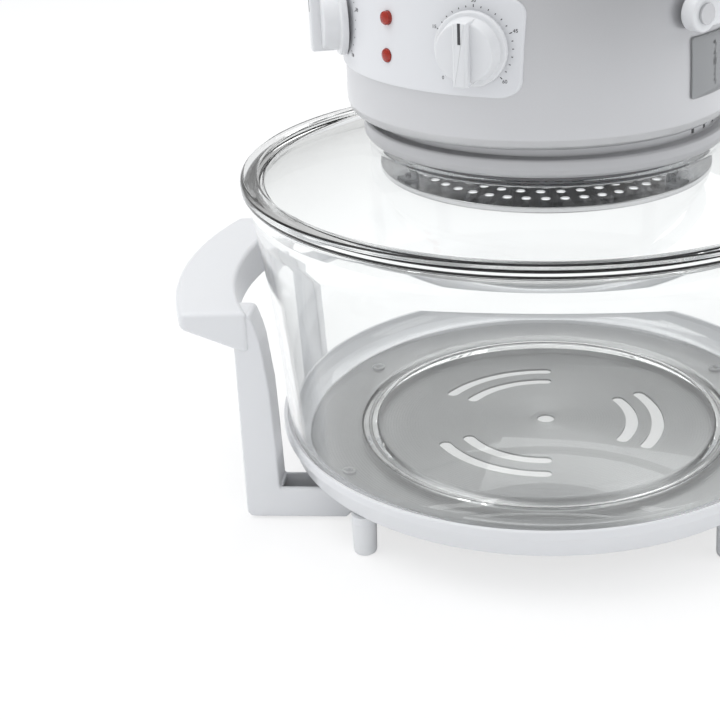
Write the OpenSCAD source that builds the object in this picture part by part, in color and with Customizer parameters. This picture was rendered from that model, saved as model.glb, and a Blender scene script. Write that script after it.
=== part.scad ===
// Halogen oven: a glass bowl in a stand with two side handles, and a glass lid
// that carries the lamp, the fan and the controls in one round head.
// Millimetres, Z up. The origin is on the table under the axis of the bowl.
// The side handles lie along X. The controls face the corner between -X and -Y.

/* [Stand] */
// Height of the stand ring's underside above the table
foot_h = 18.8; // [16:0.2:24]
// Radius of a foot peg
foot_r = 6.5; // [5:0.5:8]
// Distance from the ring's outside to the middle of a foot peg
foot_in = 9.6; // [8:0.2:12]
// Angle between the line through the handles and a foot peg
foot_a = 48.2; // [40:0.2:60]
// Thickness of the ring's upright wall
ring_wall = 2.2; // [1.8:0.1:3]
// Height of the ring's top edge above its underside
ring_h = 21.4; // [20:0.2:24]
// Width of the ledge that carries the base plate
ledge_w = 20; // [18:1:24]
// Thickness of the ledge
ledge_t = 1.8; // [1.4:0.2:2.4]
// Thickness of the base plate
plate_t = 1.2; // [0.8:0.1:1.6]
// Radius of the hole in the middle of the base plate
plate_hole_r = 5; // [3:0.5:8]
// Middle radius of the inner row of plate slots
slot_in_r = 50.3; // [44:0.5:54]
// Middle radius of the outer row of plate slots
slot_out_r = 65.3; // [62:0.5:80]
// Width of a plate slot
slot_w = 7.2; // [4:0.4:9]

/* [Side handles] */
// Width of a handle leg, along Y
leg_w = 19; // [17:0.5:24]
// Distance from the side of a leg to the end of its grip
leg_edge = 1; // [0.6:0.1:2]
// Distance from the ring's outside to the outer face of a leg
leg_reach = 11.5; // [11:0.5:16]
// Gap between the rim of the bowl and the inner wall of a grip
grip_gap = 9.6; // [8:0.2:14]
// Width of a grip, along its radius
grip_w = 32.5; // [26:0.5:36]
// Half the angle that a grip covers round the bowl
grip_a = 26.4; // [25:0.1:28]
// Height of a grip's top above the ring's top edge
grip_rise = 81.8; // [74:0.2:88]
// Wall thickness of a handle
handle_wall = 2.5; // [2:0.1:3]

/* [Bowl] */
// Height of the bowl from its base to its rim, without its foot
bowl_h = 148.8; // [130:0.2:160]
// Outer radius of the bowl at the foot of its wall
bowl_r = 147.8; // [146:0.2:152]
// How far the wall leans out between its foot and its neck
bowl_lean = 11.6; // [9:0.2:13]
// How far the rim bead stands out from the neck
rim_out = 2; // [1.4:0.2:3]
// Height of the rim bead
rim_h = 17.3; // [12:0.1:20]
// Thickness of the bowl's glass
bowl_wall = 4; // [3:0.2:5]
// Outer radius of the corner between wall and base
bowl_corner = 18; // [14:1:22]
// Height of the foot ring under the base
bowl_foot_h = 4.1; // [3.6:0.1:6]

/* [Lid] */
// How far the lid's edge stands out over the bowl's rim
lid_over = 3.2; // [2:0.2:5]
// Height of the lid's rim bead
lid_bead_h = 6.7; // [6:0.1:8]
// Height of the lid's flat middle above the bowl's rim
lid_rise = 22.7; // [18:0.1:26]
// Thickness of the lid's glass
lid_t = 4.5; // [3.5:0.1:5.5]
// Depth of the lip that centres the lid in the bowl
lip_h = 4; // [3:0.5:6]

/* [Guard and lamp] */
// How far the perforated guard reaches past the lid's hole
guard_over = 11; // [9:0.5:13]
// Thickness of the guard
guard_t = 0.8; // [0.6:0.1:1.2]
// Height of the brackets between guard and clamp ring
bracket_h = 12; // [11:0.5:16]
// Radius of a round hole in the guard
guard_hole_r = 2.5; // [1.5:0.1:2.8]
// How far the middle of the ring lamp lies inside the lid's hole
lamp_in = 26; // [24:0.5:28]
// Radius of the lamp's glass tube
tube_r = 4.5; // [4:0.1:5]
// Distance from the reflector's ceiling to the middle of the tube
lamp_drop = 13.7; // [12:0.1:15]
// Gap between the hot air fan and the lamp's tube
fan_gap = 9.5; // [6:0.5:12]
// Height of the hot air fan's blades
fan_h = 10; // [8:0.5:11]
// Number of blades on the hot air fan
fan_blades = 8; // [4:1:12]

/* [Head] */
// How far the collar is set in under the housing
collar_in = 4; // [2:0.5:6]
// Width from the lid's hole to the collar's outside
collar_land = 19.5; // [18:0.5:22]
// Height of the collar
collar_h = 11; // [10:0.5:13]
// Height of the recess between collar and housing
groove_h = 6; // [4:0.5:8]
// Largest radius of the housing
shell_r = 101.5; // [100:0.5:105]
// Height of the housing
shell_h = 74; // [72:0.5:80]
// Wall thickness of the housing
shell_wall = 2.5; // [2:0.1:3]
// How far the housing is set forward of the bowl's axis
shell_fwd = 5; // [3:0.5:6]
// Height of the top cover
cover_h = 16; // [14:0.5:24]
// Number of slots in the rear grille
grille_slots = 26; // [16:1:34]

/* [Controls] */
// Half the angle between the two knobs
knob_a = 28; // [27:0.5:30]
// Radius of a knob
knob_r = 17.5; // [15:0.5:20]
// Depth of a knob
knob_h = 17; // [14:0.5:20]
// Height of the knobs' middle above the housing's lower edge
knob_z = 49; // [47:0.5:50]
// Radius of a knob's spindle
spindle_r = 3; // [2.5:0.1:3.5]
// Height of the control panel
panel_h = 46; // [43:0.5:48]
// Half the angle that the control panel covers
panel_a = 41; // [40:1:44]
// Thickness of the control panel
panel_t = 1.5; // [1:0.1:2]
// Side of the timer and thermostat bodies
unit_w = 34; // [30:1:36]
// Depth of the timer and thermostat bodies
unit_d = 28; // [24:1:30]

/* [Carry handle] */
// Height of the hinge above the housing's lower edge
hinge_z = 60; // [58:0.5:62]
// Room for fingers between the housing and the far edge of the bail
bail_gap = 12.5; // [9:0.5:18]
// Width of the bail where it is held
bail_w = 16; // [12:1:18]
// Thickness of the bail
bail_t = 14; // [10:0.5:15]
// Angle that the bail swings up
bail_swing = 90; // [80:1:100]
// Radius of a hinge pin
pin_r = 3; // [2.5:0.1:3.5]
// Travel of the safety switch's plunger
plunger_travel = 3; // [2:0.2:4]

/* [Motor] */
// Radius of the motor's shaft
shaft_r = 3; // [2.5:0.1:3.5]
// Radius of the motor's rotor
rotor_r = 13; // [11:0.5:14]
// Height of the iron stack
stack_h = 18; // [14:0.5:20]
// Radius of the cooling fan
cooler_r = 42; // [36:1:46]

/* [Hidden] */
$fn = 96;

// Clearances
rest_gap = 0.3;        // between two pieces where one rests loose on the other
bowl_gap = 0.5;        // between the bowl and the stand ring
run_gap = 0.05;        // between a turning shaft and its bore
cut = 1;               // how far a cutting shape runs past the face it opens

// Heights, from the table up
plate_z = foot_h + ledge_t;
plate_top = plate_z + plate_t;
bowl_z = plate_top + rest_gap;
base_z = bowl_z + bowl_foot_h;
rim_z = base_z + bowl_h;
lid_z = rim_z + rest_gap;
land_z = lid_z + lid_rise;
gasket_t = 1;
low_gasket_t = 0.8;
clamp_t = 1.2;
pan_t = 1;
clamp_top = land_z - lid_t - low_gasket_t;
clamp_z = clamp_top - clamp_t;
guard_top = clamp_z - bracket_h;
pan_h = 12.3;
pan_top = clamp_top + pan_h;
pan_ceiling = pan_top - pan_t;
collar_z = land_z + gasket_t;
deck_top = collar_z + collar_h;
deck_t = 3;
shield_t = 1;
shield_top = deck_top + shield_t;
shell_z = deck_top + groove_h;
cover_z = shell_z + shell_h;
ring_top = foot_h + ring_h;
grip_top = ring_top + grip_rise;

// Radii round the bowl's axis
ring_in_r = bowl_r + bowl_gap;
ring_r = ring_in_r + ring_wall;
plate_seat_r = ring_in_r - 9.9;
ledge_in_r = plate_seat_r - ledge_w;
plate_gap = 0.4;
neck_r = bowl_r + bowl_lean;
rim_r = neck_r + rim_out;
lid_r = rim_r + lid_over;
collar_r = shell_r - collar_in;
lid_hole_r = collar_r - collar_land;
guard_r = lid_hole_r + guard_over;
lamp_r = lid_hole_r - lamp_in;
fan_r = lamp_r - tube_r - fan_gap;
pan_r = lid_hole_r - 12;
clamp_in_r = lid_hole_r - 8;
clamp_out_r = lid_hole_r + 8;
clamp_screw_r = lid_hole_r - 4.2;
deck_in_r = lid_hole_r - 12;
shield_r = lid_hole_r - 8;

// The way that the controls face, from the X axis, and the angles in the head
front_a = 225;
pillar_r = 4;
pillar_at = shell_r - 21.5;
pillar_angles = [-155, -25, 55, 125];
third = 120;

// Points of an arc in a flat outline
function arc(x, y, r, from, to, steps) =
    [for (i = [0:steps]) let (a = from + (to - from) * i / steps) [x + r * cos(a), y + r * sin(a)]];

// A flat rectangle with round corners, centred
module rounded(w, h, r) {
    square([w - 2 * r, h], center = true);
    square([w, h - 2 * r], center = true);
    for (x = [-1, 1], y = [-1, 1]) translate([x * (w / 2 - r), y * (h / 2 - r)]) circle(r);
}

// A ring with a rectangular section
module ring(r_in, r_out, z, h) {
    translate([0, 0, z]) difference() {
        cylinder(r = r_out, h = h);
        translate([0, 0, -cut]) cylinder(r = r_in, h = h + 2 * cut);
    }
}

// A screw that stands on its head: the head's seat is at z = 0 and the shank points up
module screw(r, length, head_r, head_h) {
    slot = head_r * 0.35;
    cylinder(r = r, h = length);
    translate([0, 0, -head_h]) difference() {
        cylinder(r = head_r, h = head_h);
        for (a = [0, 90]) rotate(a) translate([0, 0, head_h * 0.25])
            cube([head_r * 1.2, slot, head_h * 0.5 + cut], center = true);
    }
}

// The head's own direction, with its front towards -Y
module head() { rotate(front_a - 270) children(); }
module shell_place() { head() translate([0, -shell_fwd, 0]) children(); }

// STAND
// The ring is one moulding: an upright wall in two tiers, a ledge for the base plate
// and four bosses that the foot pegs are pushed into.
foot_tip = 0.5;
boss_h = 3;
peg_top = plate_z - boss_h + 0.6;
spigot_r = 2.6;
spigot_h = 3;
tier_z = foot_h + 15.2;
foot_at = ring_r - foot_in;
foot_places = [for (x = [-1, 1], y = [-1, 1]) foot_at * [x * cos(foot_a), y * sin(foot_a)]];

module ring_outline() {
    polygon([
        [ledge_in_r, foot_h], [plate_seat_r - 0.9, foot_h], [ring_r - 10.5, foot_h + 1.6],
        [ring_r - 7.5, foot_h + 3.5], [ring_r - 4.8, foot_h + 5.2], [ring_r - 1.5, tier_z],
        [ring_r - 0.4, tier_z + 0.5], [ring_r, tier_z + 1.6], [ring_r, ring_top - 1],
        [ring_r - 0.5, ring_top - 0.2], [ring_in_r + 0.6, ring_top], [ring_in_r, ring_top - 0.5],
        [ring_in_r - 0.3, tier_z + 2.6], [ring_in_r - 3.1, tier_z - 4],
        [ring_in_r - 6.8, tier_z - 8.5], [plate_seat_r, plate_top + 1.2], [plate_seat_r, plate_z],
        [ledge_in_r, plate_z]]);
}

module stand_ring() {
    color("whitesmoke") difference() {
        union() {
            rotate_extrude() ring_outline();
            for (p = foot_places) translate([p[0], p[1], peg_top])
                cylinder(r = foot_r, h = plate_z - peg_top + 2);
        }
        for (p = foot_places) translate([p[0], p[1], peg_top - cut])
            cylinder(r = spigot_r, h = spigot_h + cut);
        translate([0, 0, plate_z]) cylinder(r = plate_seat_r, h = plate_t + 1.2);
        for (p = screw_places) translate([p[0], p[1], foot_h - cut])
            cylinder(r = stand_screw_r, h = ledge_t + 2 * cut);
    }
}

module stand_feet() {
    color("white") for (p = foot_places) translate([p[0], p[1], 0]) {
        rotate_extrude() polygon([[0, 0], [foot_r - 1.3, 0], [foot_r - 0.7, foot_tip],
            [foot_r - 0.4, 2], [foot_r, peg_top], [0, peg_top]]);
        translate([0, 0, peg_top]) cylinder(r = spigot_r, h = spigot_h);
    }
}

// The base plate is a spun metal disc with pairs of curved slots.
slot_half_a = 30;
module arc_slot(r) {
    half_w = slot_w / 2;
    far = r * [cos(slot_half_a), sin(slot_half_a)];
    polygon(concat(
        arc(0, 0, r + half_w, -slot_half_a, slot_half_a, 12),
        arc(far[0], far[1], half_w, slot_half_a + 30, slot_half_a + 150, 4),
        arc(0, 0, r - half_w, slot_half_a, -slot_half_a, 12),
        arc(far[0], -far[1], half_w, 210 - slot_half_a, 330 - slot_half_a, 4)));
}

module base_plate() {
    color("silver") difference() {
        translate([0, 0, plate_z]) cylinder(r = plate_seat_r - plate_gap, h = plate_t);
        translate([0, 0, plate_z - cut]) {
            cylinder(r = plate_hole_r, h = plate_t + 2 * cut);
            linear_extrude(plate_t + 2 * cut) for (a = [0, third, 2 * third]) rotate(a) {
                arc_slot(slot_in_r);
                arc_slot(slot_out_r);
            }
            for (p = screw_places) translate([p[0], p[1], 0])
                cylinder(r = stand_screw_r, h = plate_t + 2 * cut);
        }
    }
}

// SIDE HANDLES
// A handle is one moulding. Each leg is a hollow L whose lower arm reaches under the ring, and
// the grip joins the tops of the two legs.
beam_z = 1.4;
beam_top = foot_h;
leg_out = ring_r + leg_reach;
beam_end = ring_r - 51.5;
end_block = 12;
end_chamfer = 9;
heel_r = 4;
grip_in_r = rim_r + grip_gap;
grip_out_r = grip_in_r + grip_w;
grip_edge_r = 3;
grip_drop = 1.2;
grip_half = grip_in_r * sin(grip_a);
leg_y = grip_half - leg_w / 2 - leg_edge;
grip_skirt = 10;
grip_inner_skirt = 24;
end_low = 21;
stand_screw_r = 1.6;
stand_screw_len = 12;
stand_bore_h = 9;
screw_x = beam_end + 7;
screw_places = [for (x = [-1, 1], y = [-1, 1]) [x * screw_x, y * leg_y]];

// Inner edge of a leg: how far each point lies inside its outer edge and below the grip's top
leg_taper = [[9.3, 2], [11.1, 7], [12.6, 12], [14, 18], [15, 27], [17, 45], [18, 75]];
leg_foot = 18.6;
leg_core_top = grip_top - 20;

// Side view of a leg: distance from the axis against height
module leg_outline() {
    polygon(concat(
        [[beam_end, beam_top], [beam_end, beam_z + end_chamfer], [beam_end + end_chamfer, beam_z]],
        arc(leg_out - heel_r, beam_z + heel_r, heel_r, -90, 0, 6),
        [[leg_out, grip_top - 2]], [for (p = leg_taper) [leg_out - p[0], grip_top - p[1]]],
        [[leg_out - leg_foot, beam_top]]));
}

// Core of a leg: a trough in the lower arm, open at its top, that runs on up into the closed leg
module leg_core() {
    inside = leg_out - handle_wall;
    polygon(concat(
        [[beam_end + end_block, beam_z + handle_wall], [inside, beam_z + handle_wall],
        [inside, leg_core_top], [leg_out - 14.2 + handle_wall, leg_core_top]],
        [for (p = leg_taper) if (grip_top - p[1] < leg_core_top)
            [leg_out - p[0] + handle_wall, grip_top - p[1]]],
        [[leg_out - leg_foot + handle_wall, beam_top - handle_wall],
        [leg_out - leg_foot - cut, beam_top - handle_wall], [leg_out - leg_foot - cut, beam_top + cut],
        [beam_end + end_block, beam_top + cut]]));
}

module grip_outline() {
    polygon(concat(
        [[grip_in_r, grip_top - grip_inner_skirt], [grip_in_r, grip_top - 1.2],
        [grip_in_r + 1.2, grip_top]],
        arc(grip_out_r - grip_edge_r, grip_top - grip_drop - grip_edge_r, grip_edge_r, 85, 0, 6),
        [[grip_out_r, grip_top - grip_skirt], [grip_out_r - handle_wall, grip_top - grip_skirt],
        [grip_out_r - handle_wall, grip_top - grip_drop - grip_edge_r - 0.5],
        [grip_out_r - grip_edge_r - 1, grip_top - grip_drop - handle_wall],
        [grip_in_r + handle_wall, grip_top - handle_wall],
        [grip_in_r + handle_wall, grip_top - grip_inner_skirt]]));
}

// Wall that closes each end of the grip
module grip_end_outline() {
    polygon([[grip_in_r - 30, grip_top - end_low], [leg_out, grip_top - end_low],
        [grip_out_r, grip_top - grip_skirt + 4], [grip_out_r + 10, grip_top - 3],
        [grip_in_r - 30, grip_top - 3]]);
}

module upright(length) {
    rotate([90, 0, 0]) translate([0, 0, -length / 2]) linear_extrude(length) children();
}

module side_handle() {
    half = grip_half;
    difference() {
        union() {
            intersection() {
                rotate_extrude() grip_outline();
                translate([leg_out - 30, -half, 0]) cube([grip_out_r, 2 * half, 2 * grip_top]);
            }
            for (side = [-1, 1]) {
                translate([0, side * leg_y, 0]) upright(leg_w) leg_outline();
                intersection() {
                    ring(grip_in_r + 0.5, grip_out_r - 0.5, grip_top - 60, 60);
                    translate([0, side * (half - handle_wall / 2), 0])
                        upright(handle_wall) grip_end_outline();
                }
            }
        }
        for (side = [-1, 1]) {
            translate([0, side * leg_y, 0]) upright(leg_w - 2 * handle_wall) leg_core();
            translate([screw_x, side * leg_y, beam_top - stand_bore_h])
                cylinder(r = stand_screw_r, h = stand_bore_h + cut);
        }
    }
}

module left_handle() { color("whitesmoke") rotate(180) side_handle(); }
module right_handle() { color("whitesmoke") side_handle(); }

module stand_screws() {
    color("silver") for (p = screw_places) translate([p[0], p[1], plate_top])
        rotate([180, 0, 0]) screw(stand_screw_r, stand_screw_len, 4, 1.6);
}

// BOWL
// Outer radius of the wall at a share t of the way from its foot to its neck
function wall_r(t) = bowl_r + bowl_lean * (0.48 * t + 0.52 * t * t);
bowl_foot_r = 104;
wall_foot = base_z + bowl_corner + 4.3;
wall_neck = rim_z - rim_h;
function wall_height(t) = wall_foot + (wall_neck - wall_foot) * t;
bowl_steps = 8;

module glass_bowl() {
    color("azure", 0.4) rotate_extrude() polygon(concat(
        [[0, base_z], [bowl_foot_r - 4, base_z], [bowl_foot_r - 3, bowl_z],
        [bowl_foot_r - 1, bowl_z], [bowl_foot_r, base_z]],
        arc(bowl_r - 0.3 - bowl_corner, base_z + bowl_corner, bowl_corner, -90, 0, 8),
        [for (i = [0:bowl_steps]) let (t = i / bowl_steps) [wall_r(t), wall_height(t)]],
        [[rim_r - 0.5, wall_neck + 6], [rim_r, wall_neck + 8]],
        arc(rim_r - 2.5, rim_z - 2.5, 2.5, 0, 90, 4),
        arc(neck_r - bowl_wall + 1.5, rim_z - 1.5, 1.5, 90, 180, 3),
        [for (i = [bowl_steps:-1:0]) let (t = i / bowl_steps) [wall_r(t) - bowl_wall, wall_height(t)]],
        arc(bowl_r - 0.3 - bowl_corner, base_z + bowl_corner, bowl_corner - bowl_wall, 0, -90, 8),
        [[0, base_z + bowl_wall]]));
}

// LID
// The lid is a pressed glass dome with a bead at its edge, a lip that drops into the
// bowl and a flat land round the hole for the head.
land_r = lid_hole_r + 15;
web_r = neck_r - bowl_wall - 2.4;
dome_steps = 8;
// Height of the dome's upper face between the land and the rim, on a shallow sphere
function dome_z(r) =
    land_z - (lid_rise - 3.7) * (pow(r, 2) - pow(land_r, 2)) / (pow(web_r, 2) - pow(land_r, 2));

module lid_glass() {
    bead_in = rim_r - 5.4;
    lip_r = neck_r - bowl_wall - 0.9;
    color("azure", 0.4) rotate_extrude() polygon(concat(
        [[lid_hole_r, land_z - lid_t], [lid_hole_r, land_z]],
        [for (i = [0:dome_steps]) let (r = land_r + (web_r - land_r) * i / dome_steps) [r, dome_z(r)]],
        [[bead_in - 0.6, lid_z + lid_bead_h - 0.4], [bead_in, lid_z + lid_bead_h]],
        arc(lid_r - 3.2, lid_z + lid_bead_h - 3.2, 3.2, 90, -60, 8),
        [[rim_r - 1, lid_z], [lip_r, lid_z], [lip_r - 0.4, lid_z - lip_h],
        [lip_r - 2.6, lid_z - lip_h], [lip_r - 3.6, lid_z - 1.2]],
        [for (i = [dome_steps - 1:-1:0]) let (r = land_r + (web_r - land_r) * i / dome_steps)
            [r, dome_z(r) - lid_t]]));
}

module lid_gaskets() {
    color("dimgray") {
        ring(lid_hole_r + 4, lid_hole_r + 13, land_z, gasket_t);
        ring(lid_hole_r + 1, clamp_out_r, clamp_top, low_gasket_t);
    }
}

// The clamp ring holds the lid's glass against the collar from below.
bracket_at = guard_r - 9;
bracket_turn = -18;
small_r = 1.5;
module clamp_ring() {
    color("silver") difference() {
        ring(clamp_in_r, clamp_out_r, clamp_z, clamp_t);
        clamp_places(clamp_z - cut) cylinder(r = small_r, h = clamp_t + 2 * cut);
        bracket_places(clamp_z - cut) cylinder(r = small_r, h = clamp_t + 2 * cut);
    }
}
module clamp_places(z) {
    head() for (i = [0:5]) rotate(60 * i) translate([clamp_screw_r, 0, z]) children();
}
module bracket_places(z) {
    for (i = [0:2]) rotate(207 + third * i) translate([bracket_at, 0, z]) children();
}
module clamp_screws() {
    color("silver") clamp_places(clamp_z) screw(small_r, 12, 3, 1.5);
}

// REFLECTOR, LAMP AND GUARD
pan_hole_r = 9;
probe_r = 2.5;
probe_at = pan_r - 9;
probe_a = front_a - 28;
module reflector() {
    color("gainsboro") difference() {
        rotate_extrude() polygon([[pan_hole_r, pan_ceiling], [pan_r - 5, pan_ceiling],
            [pan_r - 1, clamp_top], [lid_hole_r - 1, clamp_top], [lid_hole_r - 1, clamp_top + pan_t],
            [pan_r - 0.2, clamp_top + pan_t], [pan_r - 4.3, pan_top], [pan_hole_r, pan_top]]);
        clamp_places(clamp_top - cut) cylinder(r = small_r, h = pan_t + 2 * cut);
        rotate(probe_a) translate([probe_at, 0, pan_ceiling - cut])
            cylinder(r = probe_r, h = pan_t + 2 * cut);
    }
}

// The heat shield closes the deck over the reflector and carries the motor.
bolt_r = 1.6;
bolt_at = 17;
module bolt_places(z) {
    head() for (x = [-bolt_at, bolt_at], y = [-bolt_at, bolt_at]) translate([x, y, z]) children();
}
module heat_shield() {
    color("silver") difference() {
        ring(pan_hole_r - 1, shield_r, deck_top, shield_t);
        bolt_places(deck_top - cut) cylinder(r = bolt_r, h = shield_t + 2 * cut);
        rotate(probe_a) translate([probe_at, 0, deck_top - cut])
            cylinder(r = probe_r, h = shield_t + 2 * cut);
    }
}

lamp_z = pan_ceiling - lamp_drop;
lamp_gap_a = 16;
tube_wall = 1;
module lamp_arc(r, from, sweep) {
    rotate(from) rotate_extrude(angle = sweep) translate([lamp_r, 0]) children();
}
module lamp_tube() {
    color("lightcyan", 0.5) translate([0, 0, lamp_z]) head()
        lamp_arc(lamp_r, 90 + lamp_gap_a, 360 - 2 * lamp_gap_a) difference() {
            circle(tube_r);
            circle(tube_r - tube_wall);
        }
}
module lamp_filament() {
    color("dimgray") translate([0, 0, lamp_z]) head()
        lamp_arc(lamp_r, 90 + lamp_gap_a, 360 - 2 * lamp_gap_a) circle(0.9);
}
module lamp_end_caps() {
    color("ivory") head() for (side = [-1, 1]) rotate(90 + side * lamp_gap_a)
        translate([lamp_r - 6, side > 0 ? -11 : 0, lamp_z - 6])
            cube([12, 11, pan_ceiling - lamp_z + 6]);
}
clip_w = 4;
module lamp_clips() {
    half_a = asin(clip_w / 2 / lamp_r);
    color("silver") head() for (i = [1:3]) rotate(90 + 90 * i) {
        translate([0, 0, lamp_z]) lamp_arc(lamp_r, -half_a, 2 * half_a) difference() {
            circle(tube_r + run_gap + 0.8);
            circle(tube_r + run_gap);
        }
        translate([lamp_r - 1.5, -clip_w / 2, lamp_z + tube_r + 0.4])
            cube([3, clip_w, pan_ceiling - lamp_z - tube_r - 0.4]);
    }
}

// The guard is a perforated disc: rows of round holes with a plain middle and rim.
guard_rows = [for (i = [0:4]) [guard_r - 21 - 11 * i, [44, 35, 28, 21, 14][i]]];
guard_z = guard_top - guard_t;
module guard() {
    color("silver") difference() {
        union() {
            translate([0, 0, guard_z]) cylinder(r = guard_r, h = guard_t);
            ring(guard_r - 1.2, guard_r, guard_z, guard_t + 2.4);
        }
        translate([0, 0, guard_z - cut]) linear_extrude(guard_t + 2 * cut)
            for (row = guard_rows, i = [0:row[1] - 1])
                rotate(360 * i / row[1]) translate([row[0], 0]) circle(guard_hole_r, $fn = 24);
        bracket_places(guard_z - cut) cylinder(r = small_r, h = guard_t + 2 * cut);
    }
}
module guard_brackets() {
    color("silver") bracket_places(guard_top) difference() {
        union() {
            translate([-4, -5, 0]) cube([8, 10, 1]);
            translate([-4, -5, 0]) cube([1, 10, bracket_h]);
            translate([-4, -5, bracket_h - 1]) cube([8, 10, 1]);
        }
        translate([0, 0, -cut]) cylinder(r = small_r, h = bracket_h + 2 * cut);
    }
}
module guard_screws() {
    color("silver") {
        bracket_places(guard_z) screw(small_r, 4, 2.8, 1.2);
        bracket_places(clamp_z - 1) screw(small_r, 2.2, 2.8, 1.2);
    }
}

// MOTOR AND FANS
fan_top = pan_ceiling - 5;
fan_z = fan_top - fan_h - 1;
nut_h = 3;
bridge_t = 1.5;
bearing_r = 6;
bearing_h = 5.5;
low_bridge_z = shield_top + 11;
stack_z = low_bridge_z + bridge_t + 6.5;
stack_top = stack_z + stack_h;
high_bridge_z = stack_top + 6;
bolt_top = high_bridge_z + bridge_t + 3.5;
cooler_z = bolt_top + 3;
cooler_h = 12;
shaft_z = fan_z - nut_h - 0.5;
shaft_top = cooler_z + cooler_h + 1;
bridge_w = 2 * bolt_at + 10;
rotor_gap = 0.5;

module blade_wheel(r, hub_r, z, h, plate_z, count, lean) {
    difference() {
        union() {
            translate([0, 0, z]) cylinder(r = hub_r, h = h);
            translate([0, 0, plate_z]) cylinder(r = r * 0.8, h = 1);
            for (i = [0:count - 1]) rotate(360 * i / count) translate([hub_r - 1, 0, z])
                rotate(lean) translate([0, -0.5, 0]) cube([r - hub_r - 1, 1, h]);
        }
        translate([0, 0, z - cut]) cylinder(r = shaft_r, h = h + 2 * cut);
    }
}
module hot_air_fan() {
    color("silver") blade_wheel(fan_r, 9, fan_z, fan_h + 1, fan_top - 1, fan_blades, 18);
}
module fan_nut() {
    color("silver") translate([0, 0, fan_z - nut_h]) difference() {
        cylinder(r = shaft_r + 2.6, h = nut_h, $fn = 6);
        translate([0, 0, -cut]) cylinder(r = shaft_r, h = nut_h + 2 * cut);
    }
}
module motor_shaft() {
    color("silver") translate([0, 0, shaft_z]) cylinder(r = shaft_r, h = shaft_top - shaft_z);
}
module motor_rotor() {
    color("gray") ring(shaft_r, rotor_r, stack_z - 1, stack_h + 2);
}
module cooling_fan() {
    color("ivory") blade_wheel(cooler_r, 8, cooler_z, cooler_h, cooler_z, 9, 12);
}

coil_in = 33;
coil_out = 43;
module motor_stack() {
    color("gray") difference() {
        head() translate([-bolt_at - 7, -22, stack_z]) cube([coil_out + bolt_at + 7, 44, stack_h]);
        translate([0, 0, stack_z - cut]) cylinder(r = rotor_r + rotor_gap, h = stack_h + 2 * cut);
        head() translate([bolt_at + 4, -11, stack_z - cut])
            cube([coil_in - bolt_at - 4, 22, stack_h + 2 * cut]);
        bolt_places(stack_z - cut) cylinder(r = bolt_r, h = stack_h + 2 * cut);
    }
}
module motor_coil() {
    color("peru") head() difference() {
        translate([bolt_at + 6.5, -10, stack_z - 6])
            cube([coil_out + 9 - bolt_at - 6.5, 20, stack_h + 12]);
        translate([coil_in, -10 - cut, stack_z]) cube([coil_out - coil_in, 20 + 2 * cut, stack_h]);
    }
}
module motor_bridges() {
    color("silver") for (z = [low_bridge_z, high_bridge_z]) difference() {
        head() translate([-bridge_w / 2, -bridge_w / 2, z]) cube([bridge_w, bridge_w, bridge_t]);
        translate([0, 0, z - cut]) cylinder(r = bearing_r, h = bridge_t + 2 * cut);
        bolt_places(z - cut) cylinder(r = bolt_r, h = bridge_t + 2 * cut);
    }
}
module motor_bearings() {
    color("goldenrod") for (z = [low_bridge_z, high_bridge_z])
        ring(shaft_r + run_gap, bearing_r, z - 2, bearing_h);
}
module motor_spacers() {
    color("silver") for (span = [[shield_top, low_bridge_z], [low_bridge_z + bridge_t, stack_z],
            [stack_top, high_bridge_z]])
        bolt_places(span[0]) difference() {
            cylinder(r = bolt_r + 1.4, h = span[1] - span[0]);
            translate([0, 0, -cut]) cylinder(r = bolt_r, h = span[1] - span[0] + 2 * cut);
        }
}
bolt_nut_h = 2.4;
module motor_bolts() {
    color("silver") bolt_places(deck_top)
        screw(bolt_r, bolt_top - deck_top, 3, 1.6);
}
module motor_nuts() {
    color("silver") bolt_places(high_bridge_z + bridge_t) difference() {
        cylinder(r = 3, h = bolt_nut_h, $fn = 6);
        translate([0, 0, -cut]) cylinder(r = bolt_r, h = bolt_nut_h + 2 * cut);
    }
}

// COLLAR AND HOUSING
screw_boss_r = 4;
module head_collar() {
    foot_out = lid_hole_r + 13;
    foot_in = lid_hole_r + 5;
    groove_r = collar_r - 5.5;
    color("gainsboro") difference() {
        union() {
            rotate_extrude() polygon([
                [foot_in, collar_z], [foot_out, collar_z], [collar_r - 1.6, collar_z + 1.6],
                [collar_r - 0.4, collar_z + 3], [collar_r, collar_z + 5], [collar_r - 0.2, deck_top - 2],
                [collar_r - 1.2, deck_top], [groove_r, deck_top], [groove_r, shell_z],
                [groove_r - 2, shell_z], [groove_r - 2, deck_top], [deck_in_r, deck_top],
                [deck_in_r, deck_top - deck_t], [foot_in, deck_top - deck_t]]);
            clamp_places(clamp_top + pan_t)
                cylinder(r = screw_boss_r - 0.3, h = deck_top - clamp_top - pan_t);
        }
        clamp_places(clamp_top + pan_t - cut) cylinder(r = small_r, h = 12 - clamp_t - pan_t + cut);
        for (i = [0:47]) rotate(360 * i / 48) translate([groove_r - 4, -1.2, deck_top + 1.2])
            cube([8, 2.4, groove_h - 2.4]);
        pillar_places(collar_z) cylinder(r = small_r, h = collar_h + cut);
        pillar_places(collar_z) cylinder(r = 4, h = collar_h - deck_t);
    }
}

module pillar_places(z) {
    shell_place() for (a = pillar_angles) rotate(a) translate([pillar_at, 0, z]) children();
}

// Outer radius of the housing at a height above its lower edge: it swells near the
// bottom and draws in towards the top.
function belly(h) = shell_r - 3.5 * pow(max(0, h - 9) / (shell_h - 9), 2);
shell_steps = 10;
function band(from, to, out) = [for (i = [0:shell_steps])
    let (h = from + (to - from) * i / shell_steps) [belly(h) + out, shell_z + h]];
function flip(points) = [for (i = [len(points) - 1:-1:0]) points[i]];

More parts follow.
